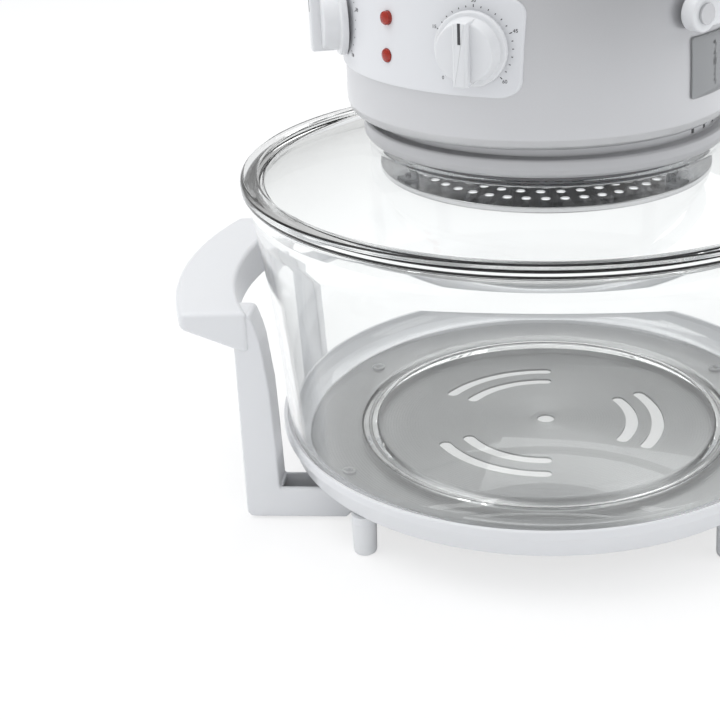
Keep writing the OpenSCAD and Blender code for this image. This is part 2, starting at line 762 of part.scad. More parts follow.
unit_front = shell_r - shell_wall - 12.5;
unit_screw_x = 11;
unit_angles = [-90 - knob_a, -90 + knob_a];
knob_height = shell_z + knob_z;
grille_half = 84;
grille_low = 20;
grille_high = 44;
lens_r = 3.5;
lens_places = [-9, 9];
gland_z = 9.5;
gland_body_r = 5.5;
hinge_height = shell_z + hinge_z;
hinge_boss_r = 7;
hinge_boss_in = shell_r - 13.5;
hinge_boss_out = belly(hinge_z + hinge_boss_r) - 1;
hub_in = shell_r + 0.6;
hub_t = 8;
shelf_z = shell_z + 20;
shelf_t = 4;

// A wedge that covers an angle to each side of a direction
module wedge(direction, half, z, h) {
    far = 3 * shell_r;
    rotate(direction) translate([0, 0, z]) linear_extrude(h)
        polygon(concat([[0, 0]], arc(0, 0, far, -half, half, 8)));
}

module shell_wall_ring() {
    rotate_extrude() polygon(concat(
        [[collar_r - 6, shell_z], [shell_r - 4.5, shell_z], [shell_r - 1.4, shell_z + 1.6],
        [shell_r - 0.3, shell_z + 5]],
        band(9, shell_h, 0),
        [[belly(shell_h) - shell_wall, cover_z]],
        flip(band(9, shell_h, -shell_wall)),
        [[shell_r - shell_wall - 1, shell_z + shell_wall], [collar_r - 6, shell_z + shell_wall]]));
}

module housing() {
    color("lightgray") shell_place() difference() {
        union() {
            shell_wall_ring();
            for (a = pillar_angles) rotate(a) {
                translate([pillar_at, 0, deck_top]) cylinder(r = pillar_r, h = cover_z - deck_top);
                translate([pillar_at, -1, shell_z])
                    cube([belly(shell_h) - 1 - pillar_at, 2, shell_h - cover_hook - rest_gap]);
            }
            intersection() {
                for (a = unit_angles, x = [-unit_screw_x, unit_screw_x]) rotate(a)
                    translate([unit_front, x, knob_height]) rotate([0, 90, 0])
                        cylinder(r = screw_boss_r, h = 30);
                cylinder(r = belly(knob_z + screw_boss_r) - 0.5, h = 2 * knob_height);
            }
            for (side = [0, 180]) rotate(side) translate([hinge_boss_in, 0, hinge_height])
                rotate([0, 90, 0]) cylinder(r = hinge_boss_r, h = hinge_boss_out - hinge_boss_in);
            intersection() {
                translate([plunger_x - 5, -18, shelf_z]) cube([30, 24, shelf_t]);
                cylinder(r = belly(24) - 1, h = 2 * shelf_z);
            }
        }
        difference() {
            wedge(90, grille_half, shell_z + grille_low, grille_high - grille_low);
            cylinder(r = pillar_at + pillar_r + 1, h = 2 * shelf_z);
        }
        for (a = unit_angles) {
            rotate(a) translate([unit_front - cut, 0, knob_height]) rotate([0, 90, 0])
                cylinder(r = spindle_r + 1.5, h = 60);
            for (x = [-unit_screw_x, unit_screw_x]) rotate(a)
                translate([unit_front - cut, x, knob_height]) rotate([0, 90, 0])
                    cylinder(r = small_r, h = 60);
        }
        for (z = lens_places) translate([0, 0, knob_height + z]) rotate([90, 0, 0])
            cylinder(r = lens_r, h = 2 * shell_r);
        for (side = [0, 180]) rotate(side) translate([hinge_boss_in - cut, 0, hinge_height])
            rotate([0, 90, 0]) cylinder(r = pin_r + run_gap, h = 60);
        translate([0, 0, shell_z + gland_z]) rotate([-90, 0, 0])
            cylinder(r = gland_body_r, h = 2 * shell_r);
        for (a = pillar_angles) rotate(a) {
            translate([pillar_at, 0, deck_top - cut]) cylinder(r = small_r, h = 18 + cut);
            translate([pillar_at, 0, cover_z - 12]) cylinder(r = small_r, h = 12 + cut);
        }
    }
}

// The top cover closes the housing with a low dome and hooks inside its wall.
cover_boss_h = 9.5;
cover_hook = 4;
module top_cover() {
    edge = belly(shell_h);
    skirt = edge - shell_wall - 0.2;
    dome = cover_h - 6;
    color("lightgray") shell_place() difference() {
        union() {
            rotate_extrude() polygon(concat(
                [[skirt - 2, cover_z - cover_hook], [skirt, cover_z - cover_hook],
                [skirt, cover_z], [edge, cover_z], [edge - 0.6, cover_z + 5]],
                [for (i = [1:8]) let (a = 90 * i / 8)
                    [(edge - 1.2) * cos(a), cover_z + 6 + dome * sin(a)]],
                [for (i = [8:-1:0]) let (a = 90 * i / 8)
                    [(edge - 4) * cos(a), cover_z + 4 + (dome - 0.8) * sin(a)]],
                [[edge - 4, cover_z + 2], [skirt - 2, cover_z]]));
            for (a = pillar_angles) rotate(a) translate([pillar_at, 0, cover_z])
                cylinder(r = pillar_r + 1.2, h = cover_boss_h);
        }
        for (a = pillar_angles) rotate(a) translate([pillar_at, 0, 0]) {
            translate([0, 0, cover_z - cut]) cylinder(r = small_r, h = 2 * cover_h);
            translate([0, 0, cover_z + 5]) cylinder(r = 3.4, h = cover_h);
        }
    }
}
cover_screw_len = 14;
housing_screw_grip = 9;
module cover_screws() {
    color("silver") pillar_places(cover_z + 5) rotate([180, 0, 0])
        screw(small_r, cover_screw_len, 3, 1.8);
}
module housing_screws() {
    color("silver") pillar_places(deck_top - deck_t)
        screw(small_r, deck_t + groove_h + housing_screw_grip, 3, 1.8);
}

// CONTROLS
panel_low = knob_z - panel_h / 2;
module control_panel() {
    panel_half = shell_r * sin(panel_a);
    color("whitesmoke") shell_place() difference() {
        intersection() {
            rotate_extrude() polygon(concat(band(panel_low - 2, panel_low + panel_h + 2, 0),
                flip(band(panel_low - 2, panel_low + panel_h + 2, panel_t))));
            translate([0, 0, knob_height]) rotate([90, 0, 0]) linear_extrude(2 * shell_r)
                rounded(2 * panel_half, panel_h, 8);
        }
        for (a = unit_angles) rotate(a) translate([0, 0, knob_height]) rotate([0, 90, 0])
            cylinder(r = spindle_r + 1.5, h = 2 * shell_r);
        for (z = lens_places) translate([0, 0, knob_height + z]) rotate([90, 0, 0])
            cylinder(r = lens_r, h = 2 * shell_r);
    }
}

module unit_place(i) { shell_place() rotate(unit_angles[i]) children(); }
module unit_body(i) {
    difference() {
        unit_place(i) translate([unit_front - unit_d, -unit_w / 2, knob_height - unit_w / 2])
            cube([unit_d, unit_w, unit_w]);
        unit_place(i) {
            translate([unit_front - unit_d - cut, 0, knob_height]) rotate([0, 90, 0])
                cylinder(r = spindle_r + run_gap, h = unit_d + 2 * cut);
            for (x = [-unit_screw_x, unit_screw_x]) translate([unit_front - 6, x, knob_height])
                rotate([0, 90, 0]) cylinder(r = small_r, h = 6 + cut);
        }
    }
}
module timer() { color("ivory") unit_body(1); }
probe_top = knob_height - unit_w / 2;
module thermostat() { color("ivory") unit_body(0); }
module thermostat_probe() {
    color("goldenrod") rotate(probe_a) translate([probe_at, 0, pan_ceiling - 6])
        cylinder(r = probe_r, h = probe_top - pan_ceiling + 6);
}
module control_screws() {
    color("silver") for (i = [0, 1], x = [-unit_screw_x, unit_screw_x]) unit_place(i)
        translate([unit_front + 4, x, knob_height]) rotate([0, -90, 0]) cylinder(r = small_r, h = 10);
}

knob_back = belly(knob_z - knob_r) + panel_t + rest_gap;
module spindle(i) {
    unit_place(i) translate([unit_front - unit_d + 6, 0, knob_height]) rotate([0, 90, 0])
        cylinder(r = spindle_r, h = knob_back + knob_h - 5 - unit_front + unit_d - 6);
}
module timer_spindle() { color("silver") spindle(1); }
module thermostat_spindle() { color("silver") spindle(0); }

// A knob: a flange, a tapered grip with a raised bar across it and a blind bore
module knob(i) {
    flange = 3.5;
    bar_w = 7;
    color("whitesmoke") unit_place(i) translate([knob_back, 0, knob_height]) rotate([0, 90, 0])
        difference() {
            union() {
                cylinder(r = knob_r, h = flange);
                cylinder(r1 = knob_r - 2.5, r2 = knob_r - 4, h = knob_h - 5);
                intersection() {
                    translate([-knob_r, -bar_w / 2, 0]) cube([2 * knob_r, bar_w, knob_h]);
                    cylinder(r = knob_r - 2.5, h = knob_h);
                }
            }
            translate([0, 0, -cut]) cylinder(r = spindle_r, h = knob_h - 5 + cut);
        }
}
module timer_knob() { knob(1); }
module thermostat_knob() { knob(0); }

module signal_lenses() {
    color("orangered") shell_place() for (z = lens_places)
        translate([0, -(shell_r - shell_wall - 5), knob_height + z]) rotate([90, 0, 0])
            cylinder(r = lens_r, h = shell_wall + panel_t + 5);
}
module signal_lamps() {
    color("wheat") shell_place() for (z = lens_places)
        translate([0, -(shell_r - shell_wall - 17), knob_height + z]) rotate([90, 0, 0])
            cylinder(r = 2.5, h = 12);
}

// The grille covers the window in the back of the housing.
module rear_grille() {
    pitch = 2 * (grille_half - 3) / grille_slots;
    t = 1.2;
    color("gray") shell_place() difference() {
        intersection() {
            rotate_extrude() polygon(concat(band(grille_low - 3, grille_high + 3, 0),
                flip(band(grille_low - 3, grille_high + 3, t))));
            wedge(90, 89, shell_z, shell_h);
        }
        for (i = [0:grille_slots - 1]) rotate(90 - grille_half + 3 + pitch * (i + 0.5))
            translate([shell_r - 14, -1.8, shell_z + grille_low + 1])
                cube([30, 3.6, grille_high - grille_low - 2]);
    }
}

cord_r = 3.8;
gland_in = 9;
gland_out = 6;
module cord_gland() {
    color("dimgray") shell_place() translate([0, shell_r, shell_z + gland_z]) rotate([-90, 0, 0])
        difference() {
            union() {
                translate([0, 0, -gland_in]) cylinder(r = gland_body_r, h = gland_in + gland_out);
                translate([0, 0, 0]) cylinder(r = gland_body_r + 2, h = 2);
            }
            translate([0, 0, -gland_in - cut]) cylinder(r = cord_r, h = gland_in + gland_out + 2 * cut);
        }
}

// CARRY HANDLE AND SAFETY SWITCH
// The bail lies round the back of the housing. Its two hubs turn on pins, and a cam on
// one pin presses the safety switch while the bail is down.
bail_half = hub_in + hub_t;
bail_len = shell_r + bail_gap + bail_w;
bail_steps = 40;
module bail_outline() {
    inner_len = bail_len - bail_w;
    difference() {
        polygon([for (i = [0:bail_steps]) let (a = 180 * i / bail_steps)
            [bail_half * cos(a), bail_len * sin(a)]]);
        polygon(concat([[hub_in, -cut], [-hub_in, -cut]],
            [for (i = [bail_steps:-1:0]) let (a = 180 * i / bail_steps)
                [hub_in * cos(a), inner_len * sin(a)]]));
    }
}
module carry_handle() {
    color("whitesmoke") shell_place() difference() {
        union() {
            translate([0, 0, hinge_height - bail_t / 2]) linear_extrude(bail_t) bail_outline();
            for (side = [0, 180]) rotate(side) translate([hub_in, 0, hinge_height])
                rotate([0, 90, 0]) cylinder(r = bail_t / 2 + 2, h = hub_t);
        }
        for (side = [0, 180]) rotate(side) translate([hub_in - cut, 0, hinge_height])
            rotate([0, 90, 0]) cylinder(r = pin_r, h = hub_t + 2 * cut);
    }
}
cam_in = shell_r - 20.5;
cam_w = 6;
module hinge_pins() {
    color("silver") shell_place() for (side = [0, 180]) rotate(side)
        translate([cam_in, 0, hinge_height]) rotate([0, 90, 0]) {
            cylinder(r = pin_r, h = hub_in + hub_t - cam_in);
            translate([0, 0, hub_in + hub_t - cam_in]) cylinder(r = pin_r + 2, h = 1.6);
        }
}
cam_r = 12;
cam_gap = 0.5;
cam_fall = 60;
cam_step = 10;
// Radius of the cam where it faces down after the bail has swung up by an angle. It
// shrinks evenly through the swing, so that the plunger rises in step with the bail.
function cam_radius(swung) =
    cam_r - plunger_travel * min(1, swung / bail_swing, (360 - swung) / cam_fall);
module switch_cam() {
    color("dimgray") shell_place() translate([cam_in, 0, hinge_height]) rotate([90, 0, 90])
        linear_extrude(cam_w) difference() {
            polygon([for (a = [0:cam_step:359]) cam_radius((630 - a) % 360) * [cos(a), sin(a)]]);
            circle(pin_r);
        }
}
plunger_r = 2.2;
plunger_x = cam_in + cam_w / 2;
plunger_top = hinge_height - cam_r - cam_gap;
switch_z = shelf_z + shelf_t;
switch_h = 12;
plunger_depth = 5;
plunger_head_h = 2;
module switch_plunger() {
    color("tomato") shell_place() translate([plunger_x, 0, 0]) {
        translate([0, 0, switch_z + switch_h - plunger_depth])
            cylinder(r = plunger_r, h = plunger_top - switch_z - switch_h + plunger_depth);
        translate([0, 0, plunger_top - plunger_head_h]) cylinder(r = 4, h = plunger_head_h);
    }
}
spring_r = 3.1;
wire_r = 0.35;
spring_turns = 5;
spring_rings = 12;
wire_sides = 6;
// The spring is one wire swept along a helix, as rings of points joined by triangles.
module plunger_spring() {
    low = switch_z + switch_h + wire_r + 0.05;
    high = plunger_top - plunger_head_h - wire_r - 0.05;
    n = spring_turns * spring_rings;
    points = [for (i = [0:n]) let (a = 360 * i / spring_rings, z = low + (high - low) * i / n)
        for (j = [0:wire_sides - 1]) let (b = 360 * j / wire_sides, r = spring_r + wire_r * cos(b))
            [r * cos(a), r * sin(a), z + wire_r * sin(b)]];
    sides = [for (i = [0:n - 1], j = [0:wire_sides - 1]) let (k = (j + 1) % wire_sides,
        p = i * wire_sides + j, q = i * wire_sides + k, up = wire_sides)
        each [[p, p + up, q], [q, p + up, q + up]]];
    start = [for (j = [1:wire_sides - 2]) [0, j, j + 1]];
    last = n * wire_sides;
    end = [for (j = [1:wire_sides - 2]) [last, last + j + 1, last + j]];
    color("silver") shell_place() translate([plunger_x, 0, 0])
        polyhedron(points, concat(start, sides, end));
}
module safety_switch() {
    color("dimgray") shell_place() difference() {
        translate([plunger_x - 4, -16, switch_z]) cube([8, 20, switch_h]);
        translate([plunger_x, 0, switch_z + switch_h - plunger_depth - 1])
            cylinder(r = plunger_r + run_gap, h = plunger_depth + 1 + cut);
    }
}

// TERMINALS
block_l = 36;
block_w = 12;
block_h = 11;
block_y = shield_r - 22;
block_bore_r = 2.2;
module terminal_block() {
    color("ivory") head() difference() {
        translate([-block_l / 2, block_y, shield_top]) cube([block_l, block_w, block_h]);
        for (i = [-1:1]) translate([i * block_l / 3, block_y + block_w / 2, shield_top + block_h / 2])
            cylinder(r = block_bore_r, h = block_h);
    }
}
cutout_r = 8;
cutout_h = 9;
cutout_at = (shield_r - 15) * [-cos(33), sin(33)];
module thermal_cutout() {
    color("silver") head() translate([cutout_at[0], cutout_at[1], shield_top]) {
        cylinder(r = cutout_r, h = cutout_h * 0.55);
        cylinder(r = cutout_r * 0.75, h = cutout_h);
    }
}

stand_ring();
base_plate();
left_handle();
right_handle();
stand_feet();
stand_screws();
glass_bowl();
lid_glass();
lid_gaskets();
head_collar();
clamp_ring();
clamp_screws();
reflector();
heat_shield();
lamp_tube();
lamp_filament();
lamp_end_caps();
lamp_clips();
guard();
guard_brackets();
guard_screws();
hot_air_fan();
fan_nut();
motor_shaft();
motor_rotor();
cooling_fan();
motor_stack();
motor_coil();
motor_bridges();
motor_bearings();
motor_spacers();
motor_bolts();
motor_nuts();
housing();
top_cover();
cover_screws();
housing_screws();
control_panel();
timer();
thermostat();
thermostat_probe();
control_screws();
timer_spindle();
thermostat_spindle();
timer_knob();
thermostat_knob();
signal_lenses();
signal_lamps();
rear_grille();
cord_gland();
carry_handle();
hinge_pins();
switch_cam();
switch_plunger();
plunger_spring();
safety_switch();
terminal_block();
thermal_cutout();
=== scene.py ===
# %% [markdown]
# # Dressing a halogen oven
# The oven is a deep glass bowl in a white stand with two side handles. Its glass lid carries one
# round head with the lamp, the fan and the controls. The solids come ready made, and this file
# gives each one the surface that a person would see: rounded edges, glass, metal and plastic.
# We load the solids first, so that every later piece can be put exactly where they are.

# %% Load the frame
import math

import bmesh
import bpy
import numpy as np
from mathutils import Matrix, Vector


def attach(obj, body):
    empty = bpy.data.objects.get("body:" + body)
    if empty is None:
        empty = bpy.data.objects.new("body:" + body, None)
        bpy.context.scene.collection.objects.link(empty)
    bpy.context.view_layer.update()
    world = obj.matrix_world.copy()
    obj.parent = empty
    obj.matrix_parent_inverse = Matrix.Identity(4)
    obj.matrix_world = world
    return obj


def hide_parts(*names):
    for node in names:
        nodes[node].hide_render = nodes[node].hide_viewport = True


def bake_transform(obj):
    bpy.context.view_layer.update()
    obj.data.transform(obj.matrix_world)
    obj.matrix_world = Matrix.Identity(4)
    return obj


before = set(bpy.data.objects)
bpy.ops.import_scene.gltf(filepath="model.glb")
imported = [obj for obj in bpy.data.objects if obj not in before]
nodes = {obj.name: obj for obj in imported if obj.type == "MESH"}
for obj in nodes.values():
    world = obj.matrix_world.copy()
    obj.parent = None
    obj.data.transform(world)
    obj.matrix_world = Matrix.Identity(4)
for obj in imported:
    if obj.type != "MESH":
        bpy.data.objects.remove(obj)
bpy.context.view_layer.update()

# %% [markdown]
# ## Shapes as arrays of points
# Blender can model by hand, but these pieces are mostly turned or moulded, so each one is a short
# formula. A shape here is a grid of points worked out at once with numpy. All lengths are written
# in millimetres, as on a drawing, and become metres only when the mesh is made.

# %% Rounded outlines
MM = 0.001


def rounded(corners, closed=True, steps=5):
    """An outline with rounded corners. Each corner is (across, up, radius), and an arc that
    touches both of its sides takes the corner's place."""
    corners = np.array(corners, float)
    count = len(corners)
    points = []
    for k in range(count):
        here, radius = corners[k, :2], corners[k, 2]
        if radius == 0 or (not closed and k in (0, count - 1)):
            points.append(here[None])
            continue
        back, ahead = corners[k - 1, :2] - here, corners[(k + 1) % count, :2] - here
        length_back, length_ahead = np.linalg.norm(back), np.linalg.norm(ahead)
        back, ahead = back / length_back, ahead / length_ahead
        half = 0.5 * math.acos(max(-1.0, min(1.0, back @ ahead)))
        turn = math.pi - 2 * half
        if turn < 0.02:
            points.append(here[None])
            continue
        reach = min(radius / math.tan(half), 0.49 * min(length_back, length_ahead))
        centre = here + (back + ahead) / np.linalg.norm(back + ahead) * reach / math.cos(half)
        start, end = here + back * reach - centre, here + ahead * reach - centre
        share = np.linspace(0, 1, max(2, steps))[:, None]
        arc = (start * np.sin((1 - share) * turn) + end * np.sin(share * turn)) / math.sin(turn)
        points.append(centre + arc)
    return np.concatenate(points)


def arc(across, up, radius, start, end, steps):
    """Points on a circle round (across, up), from one angle to another in degrees."""
    angle = np.radians(np.linspace(start, end, steps))
    return np.stack([across + radius * np.cos(angle), up + radius * np.sin(angle)], 1)


def with_radius(points, radius=0.0):
    """Outline points as corners of one rounding radius."""
    points = np.atleast_2d(points)
    return np.column_stack([points, np.full(len(points), radius)])


# %% Shapes from outlines
def grid_faces(rows, columns, wrap_rows=False, wrap_columns=False):
    """Four-sided faces between neighbours of a grid of points. A wrapped direction joins its
    last line to its first."""
    i = np.arange(rows if wrap_rows else rows - 1)
    j = np.arange(columns if wrap_columns else columns - 1)
    i, j = np.meshgrid(i, j, indexing="ij")
    below, beside = (i + 1) % rows, (j + 1) % columns
    faces = [i * columns + j, below * columns + j, below * columns + beside, i * columns + beside]
    return np.stack(faces, -1).reshape(-1, 4)


def end_caps(count, rings):
    """The two faces that close a row of rings, each of the same count of points."""
    return [np.arange(count)[::-1], np.arange(count) + count * (rings - 1)]


def polar(radius, angle, height):
    """Points at a distance from the Z axis, at an angle round it and at a height."""
    return np.stack([radius * np.cos(angle), radius * np.sin(angle), height + 0 * angle], -1)


def revolve(outline, around=192, closed=True):
    """A turned shape, from an outline of points (r, z). Ends that lie on the axis close it."""
    angle = np.linspace(0, 2 * np.pi, around, endpoint=False)
    points = polar(outline[:, :1], angle, outline[:, 1:2])
    return points.reshape(-1, 3), grid_faces(len(outline), around, closed, True), []


def inset(outline, distance):
    """The outline moved inwards: each point goes along the middle of its two sides' normals, by
    the distance divided by the cosine of half their turn."""
    ahead = np.roll(outline, -1, 0) - outline
    ahead = ahead / np.linalg.norm(ahead, axis=1, keepdims=True)
    normal = np.stack([-ahead[:, 1], ahead[:, 0]], 1)
    before = np.roll(normal, 1, 0)
    middle = normal + before
    middle = middle / np.maximum((middle * normal).sum(1, keepdims=True), 0.3)
    x, y = outline.T
    area = 0.5 * np.sum(x * np.roll(y, -1) - np.roll(x, -1) * y)
    return outline + middle * distance * np.sign(area)


def plate(outline, low, high, edge=0.0, steps=4):
    """A flat outline given thickness along Z. Near each face the outline shrinks along a quarter
    circle, so both rims are rounded by the edge radius."""
    angle = np.radians(np.linspace(0, 90, steps)) if edge else np.zeros(1)
    shrink, rise = edge * (1 - np.sin(angle)), edge * (1 - np.cos(angle))
    levels = np.concatenate([low + rise, (high - rise)[::-1]])
    insets = np.concatenate([shrink, shrink[::-1]])
    rings = [
        np.column_stack([inset(outline, d), np.full(len(outline), z)])
        for z, d in zip(levels, insets)
    ]
    faces = grid_faces(len(rings), len(outline), False, True)
    return np.concatenate(rings), faces, end_caps(len(outline), len(rings))


def tube(path, reference, radius, sides=8):
    """A round wire along a path. The reference vectors, less their part along the path, and
    their cross product with it span each circle."""
    ahead = np.gradient(path, axis=0)
    ahead = ahead / np.linalg.norm(ahead, axis=1, keepdims=True)
    across = reference - ahead * (reference * ahead).sum(1, keepdims=True)
    across = across / np.linalg.norm(across, axis=1, keepdims=True)
    other = np.cross(ahead, across)
    angle = np.linspace(0, 2 * np.pi, sides, endpoint=False)[:, None]
    circle = across[:, None] * np.cos(angle) + other[:, None] * np.sin(angle)
    points = (path[:, None] + radius * circle).reshape(-1, 3)
    return points, grid_faces(len(path), sides, False, True), end_caps(sides, len(path))


def join(*shapes):
    """Several shapes as one, with their faces' numbers moved on."""
    points, faces, caps, start = [], [], [], 0
    for shape_points, shape_faces, shape_caps in shapes:
        points.append(shape_points)
        faces.append(shape_faces + start)
        caps += [cap + start for cap in shape_caps]
        start += len(shape_points)
    return np.concatenate(points), np.concatenate(faces), caps


# %% Moving shapes
def moved(shape, x=0.0, y=0.0, z=0.0):
    """The shape moved along the axes."""
    return shape[0] + np.array([x, y, z]), shape[1], shape[2]


def turned(shape, degrees):
    """The shape turned round Z."""
    a = math.radians(degrees)
    turn = np.array([[math.cos(a), math.sin(a), 0], [-math.sin(a), math.cos(a), 0], [0, 0, 1]])
    return shape[0] @ turn, shape[1], shape[2]


def along_x(shape):
    """The shape laid over, so that its Z points along X and its X points down."""
    x, y, z = shape[0].T
    return np.stack([z, y, -x], 1), shape[1], shape[2]


def along_y(shape):
    """The shape stood up, so that its Y becomes height and its Z points along -Y."""
    x, y, z = shape[0].T
    return np.stack([x, -z, y], 1), shape[1], shape[2]


def bent(shape, formula):
    """The shape with its points changed by a formula on whole columns x, y and z."""
    return np.stack(formula(*shape[0].T), 1), shape[1], shape[2]


def oblong(x, y, radius=0.0, steps=5):
    """The outline of a rectangle between pairs of limits, with rounded corners."""
    corners = [(x[0], y[0], radius), (x[1], y[0], radius), (x[1], y[1], radius), (x[0], y[1], radius)]
    return rounded(corners, steps=steps)


def box(x, y, z, edge=0.0):
    """A block between pairs of limits, with its upright outline and its rims rounded."""
    return plate(oblong(x, y, edge), z[0], z[1], edge)


def disc(radius, low, high, sides=48):
    """A plain round bar, for cutting holes and for bosses."""
    return plate(arc(0, 0, radius, 0, 360 - 360 / sides, sides), low, high)


def at_places(shape, places):
    """Copies of a shape, moved to each (x, y) place."""
    return join(*[moved(shape, x, y) for x, y in places])


def at_angles(shape, angles):
    """Copies of a shape, turned round Z to each angle."""
    return join(*[turned(shape, a) for a in angles])


def densified(outline, spacing):
    """An outline with points added on its straight stretches, no further apart than about the
    spacing."""
    sides = np.roll(outline, -1, 0) - outline
    counts = np.maximum(1, (np.linalg.norm(sides, axis=1) / spacing).astype(int))
    return np.concatenate([
        start + side * np.linspace(0, 1, count, endpoint=False)[:, None]
        for start, side, count in zip(outline, sides, counts)])


# %% [markdown]
# ## From arrays to Blender pieces
# One function makes every new piece. It puts the arrays into a mesh, merges doubled points, turns
# the faces outwards and only then cuts and joins with Boolean modifiers. Smooth shading with sharp
# edges above an angle keeps turned surfaces smooth and real corners crisp.

# %% Make, cut and place a piece
scene = bpy.context.scene


def mesh_from(shape, name):
    """A closed mesh in metres from a shape in millimetres."""
    points, quads, caps = shape
    mesh = bpy.data.meshes.new(name)
    corners = np.concatenate([np.ravel(quads)] + [np.ravel(c) for c in caps]).astype(np.int32)
    sizes = np.array([4] * len(quads) + [len(c) for c in caps])
    mesh.vertices.add(len(points))
    mesh.vertices.foreach_set("co", np.ascontiguousarray(points * MM, np.float32).ravel())
    mesh.loops.add(len(corners))
    mesh.loops.foreach_set("vertex_index", corners)
    mesh.polygons.add(len(sizes))
    starts = np.concatenate([[0], np.cumsum(sizes)[:-1]]).astype(np.int32)
    mesh.polygons.foreach_set("loop_start", starts)
    mesh.update(calc_edges=True)
    work = bmesh.new()
    work.from_mesh(mesh)
    bmesh.ops.remove_doubles(work, verts=work.verts, dist=1e-6)
    bmesh.ops.recalc_face_normals(work, faces=work.faces)
    work.to_mesh(mesh)
    work.free()
    return mesh


def add(*shapes, place=None):
    """Steps that join shapes to a piece, each first put in its place by a function."""
    return [("UNION", place(other) if place else other) for other in shapes]


def cut(*shapes, place=None):
    """Steps that cut shapes out of a piece, each first put in its place by a function."""
    return [("DIFFERENCE", place(other) if place else other) for other in shapes]


def shaped(name, shape, steps=()):
    """An object made of a shape and a list of (operation, shape) steps, all applied."""
    obj = bpy.data.objects.new(name, mesh_from(shape, name))
    scene.collection.objects.link(obj)
    helpers = []
    for operation, other in steps:
        helper = bpy.data.objects.new("helper", mesh_from(other, "helper"))
        scene.collection.objects.link(helper)
        helpers.append(helper)
        change = obj.modifiers.new(operation, "BOOLEAN")
        change.operation, change.solver, change.object = operation, "MANIFOLD", helper
    if helpers:
        graph = bpy.context.evaluated_depsgraph_get()
        obj.data = bpy.data.meshes.new_from_object(obj.evaluated_get(graph))
        obj.data.name = name
        obj.modifiers.clear()
        for helper in helpers:
            bpy.data.objects.remove(helper)
    return obj


def piece(name, shape, finish, body, replaced=(), steps=(), sharp=30):
    """A finished piece: shaped, shaded, given its finish, and riding on its body, if it has
    one."""
    obj = shaped(name, shape, steps)
    obj.data.materials.clear()
    obj.data.materials.append(finish)
    obj.data.polygons.foreach_set("use_smooth", [True] * len(obj.data.polygons))
    obj.data.set_sharp_from_angle(angle=math.radians(sharp))
    if body:
        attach(obj, body)
    if replaced:
        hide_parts(*replaced)
    triangles = sum(len(p.vertices) - 2 for p in obj.data.polygons)
    print(f"{name}: {triangles} triangles")
    return obj


def dress(finish, *names):
    """Gives solids that keep their own shape a finish."""
    for name in names:
        mesh = nodes[name].data
        mesh.materials.clear()
        mesh.materials.append(finish)


# %% [markdown]
# ## Wiring shader nodes
# The surround, the floor and the finishes are all made of shader nodes. Two small functions make
# and wire a node in one call, so that each line below reads like the formula it stands for.


# %% Node helpers
def node(tree, kind, links=None, **values):
    """A shader node with its properties and input sockets set. A socket's value may be a
    number, a colour or another node's output."""
    made = tree.nodes.new("ShaderNode" + kind)
    for key, value in values.items():
        setattr(made, key, value)
    for key, value in (links or {}).items():
        socket = made.inputs[key]
        if isinstance(value, bpy.types.NodeSocket):
            tree.links.new(value, socket)
        else:
            socket.default_value = value
    return made


def maths(tree, operation, *values, clamp=False):
    """The output of a Math node on two or three values."""
    links = dict(enumerate(values))
    return node(tree, "Math", links, operation=operation, use_clamp=clamp).outputs[0]


# %% [markdown]
# ## The camera and the light
# The camera looks down on the bowl from in front of the stand, a little to the right of the frame's
# middle, as a photographer would who wants the left handle and the whole bowl. The light is plain
# and soft: a pale surround, a large lamp overhead on the left, one behind and a weaker one on the
# right. Glass and metal show a surround of their own, with a darker middle and a darker right side,
# because clear glass in an all white room can't be seen.

# %% Camera
CAMERA_PLACE = (0.0, -0.7332, 0.4048)
CAMERA_YAW, CAMERA_PITCH, CAMERA_ROLL = 0.04806, 0.35449, -0.01704
ahead = np.array([
    math.sin(-CAMERA_YAW) * math.cos(CAMERA_PITCH),
    math.cos(CAMERA_YAW) * math.cos(CAMERA_PITCH),
    -math.sin(CAMERA_PITCH),
])
right = np.cross(ahead, [0, 0, 1])
right /= np.linalg.norm(right)
above = np.cross(right, ahead)
rolled_right = math.cos(CAMERA_ROLL) * right + math.sin(CAMERA_ROLL) * above
rolled_above = math.cos(CAMERA_ROLL) * above - math.sin(CAMERA_ROLL) * right
camera_data = bpy.data.cameras.new("camera")
camera_data.lens = 70.213
camera_data.shift_x, camera_data.shift_y = -0.17, -0.16474
camera = bpy.data.objects.new("camera", camera_data)
scene.collection.objects.link(camera)
matrix = np.eye(4)
matrix[:3, 0], matrix[:3, 1], matrix[:3, 2] = rolled_right, rolled_above, -ahead
matrix[:3, 3] = CAMERA_PLACE
camera.matrix_world = Matrix(matrix.tolist())
scene.camera = camera
scene.view_settings.view_transform = "Standard"


# %% Lamps
def area_lamp(name, place, target, width, power):
    """A square soft lamp that faces a target and isn't mirrored in glass or metal."""
    data = bpy.data.lights.new(name, "AREA")
    data.size, data.energy = width, power
    lamp = bpy.data.objects.new(name, data)
    place, target = Vector(place), Vector(target)
    lamp.rotation_mode = "QUATERNION"
    lamp.rotation_quaternion = (target - place).to_track_quat("-Z", "Y")
    lamp.location = place
    scene.collection.objects.link(lamp)
    lamp.visible_glossy = False


middle = (0, 0, 0.15)
area_lamp("key_lamp", (-0.9, -0.1, 1.8), middle, 1.2, 15)
area_lamp("fill_lamp", (1.5, -0.2, 1.1), middle, 1.0, 4)
area_lamp("back_lamp", (0.3, 1.2, 1.6), middle, 1.2, 8)

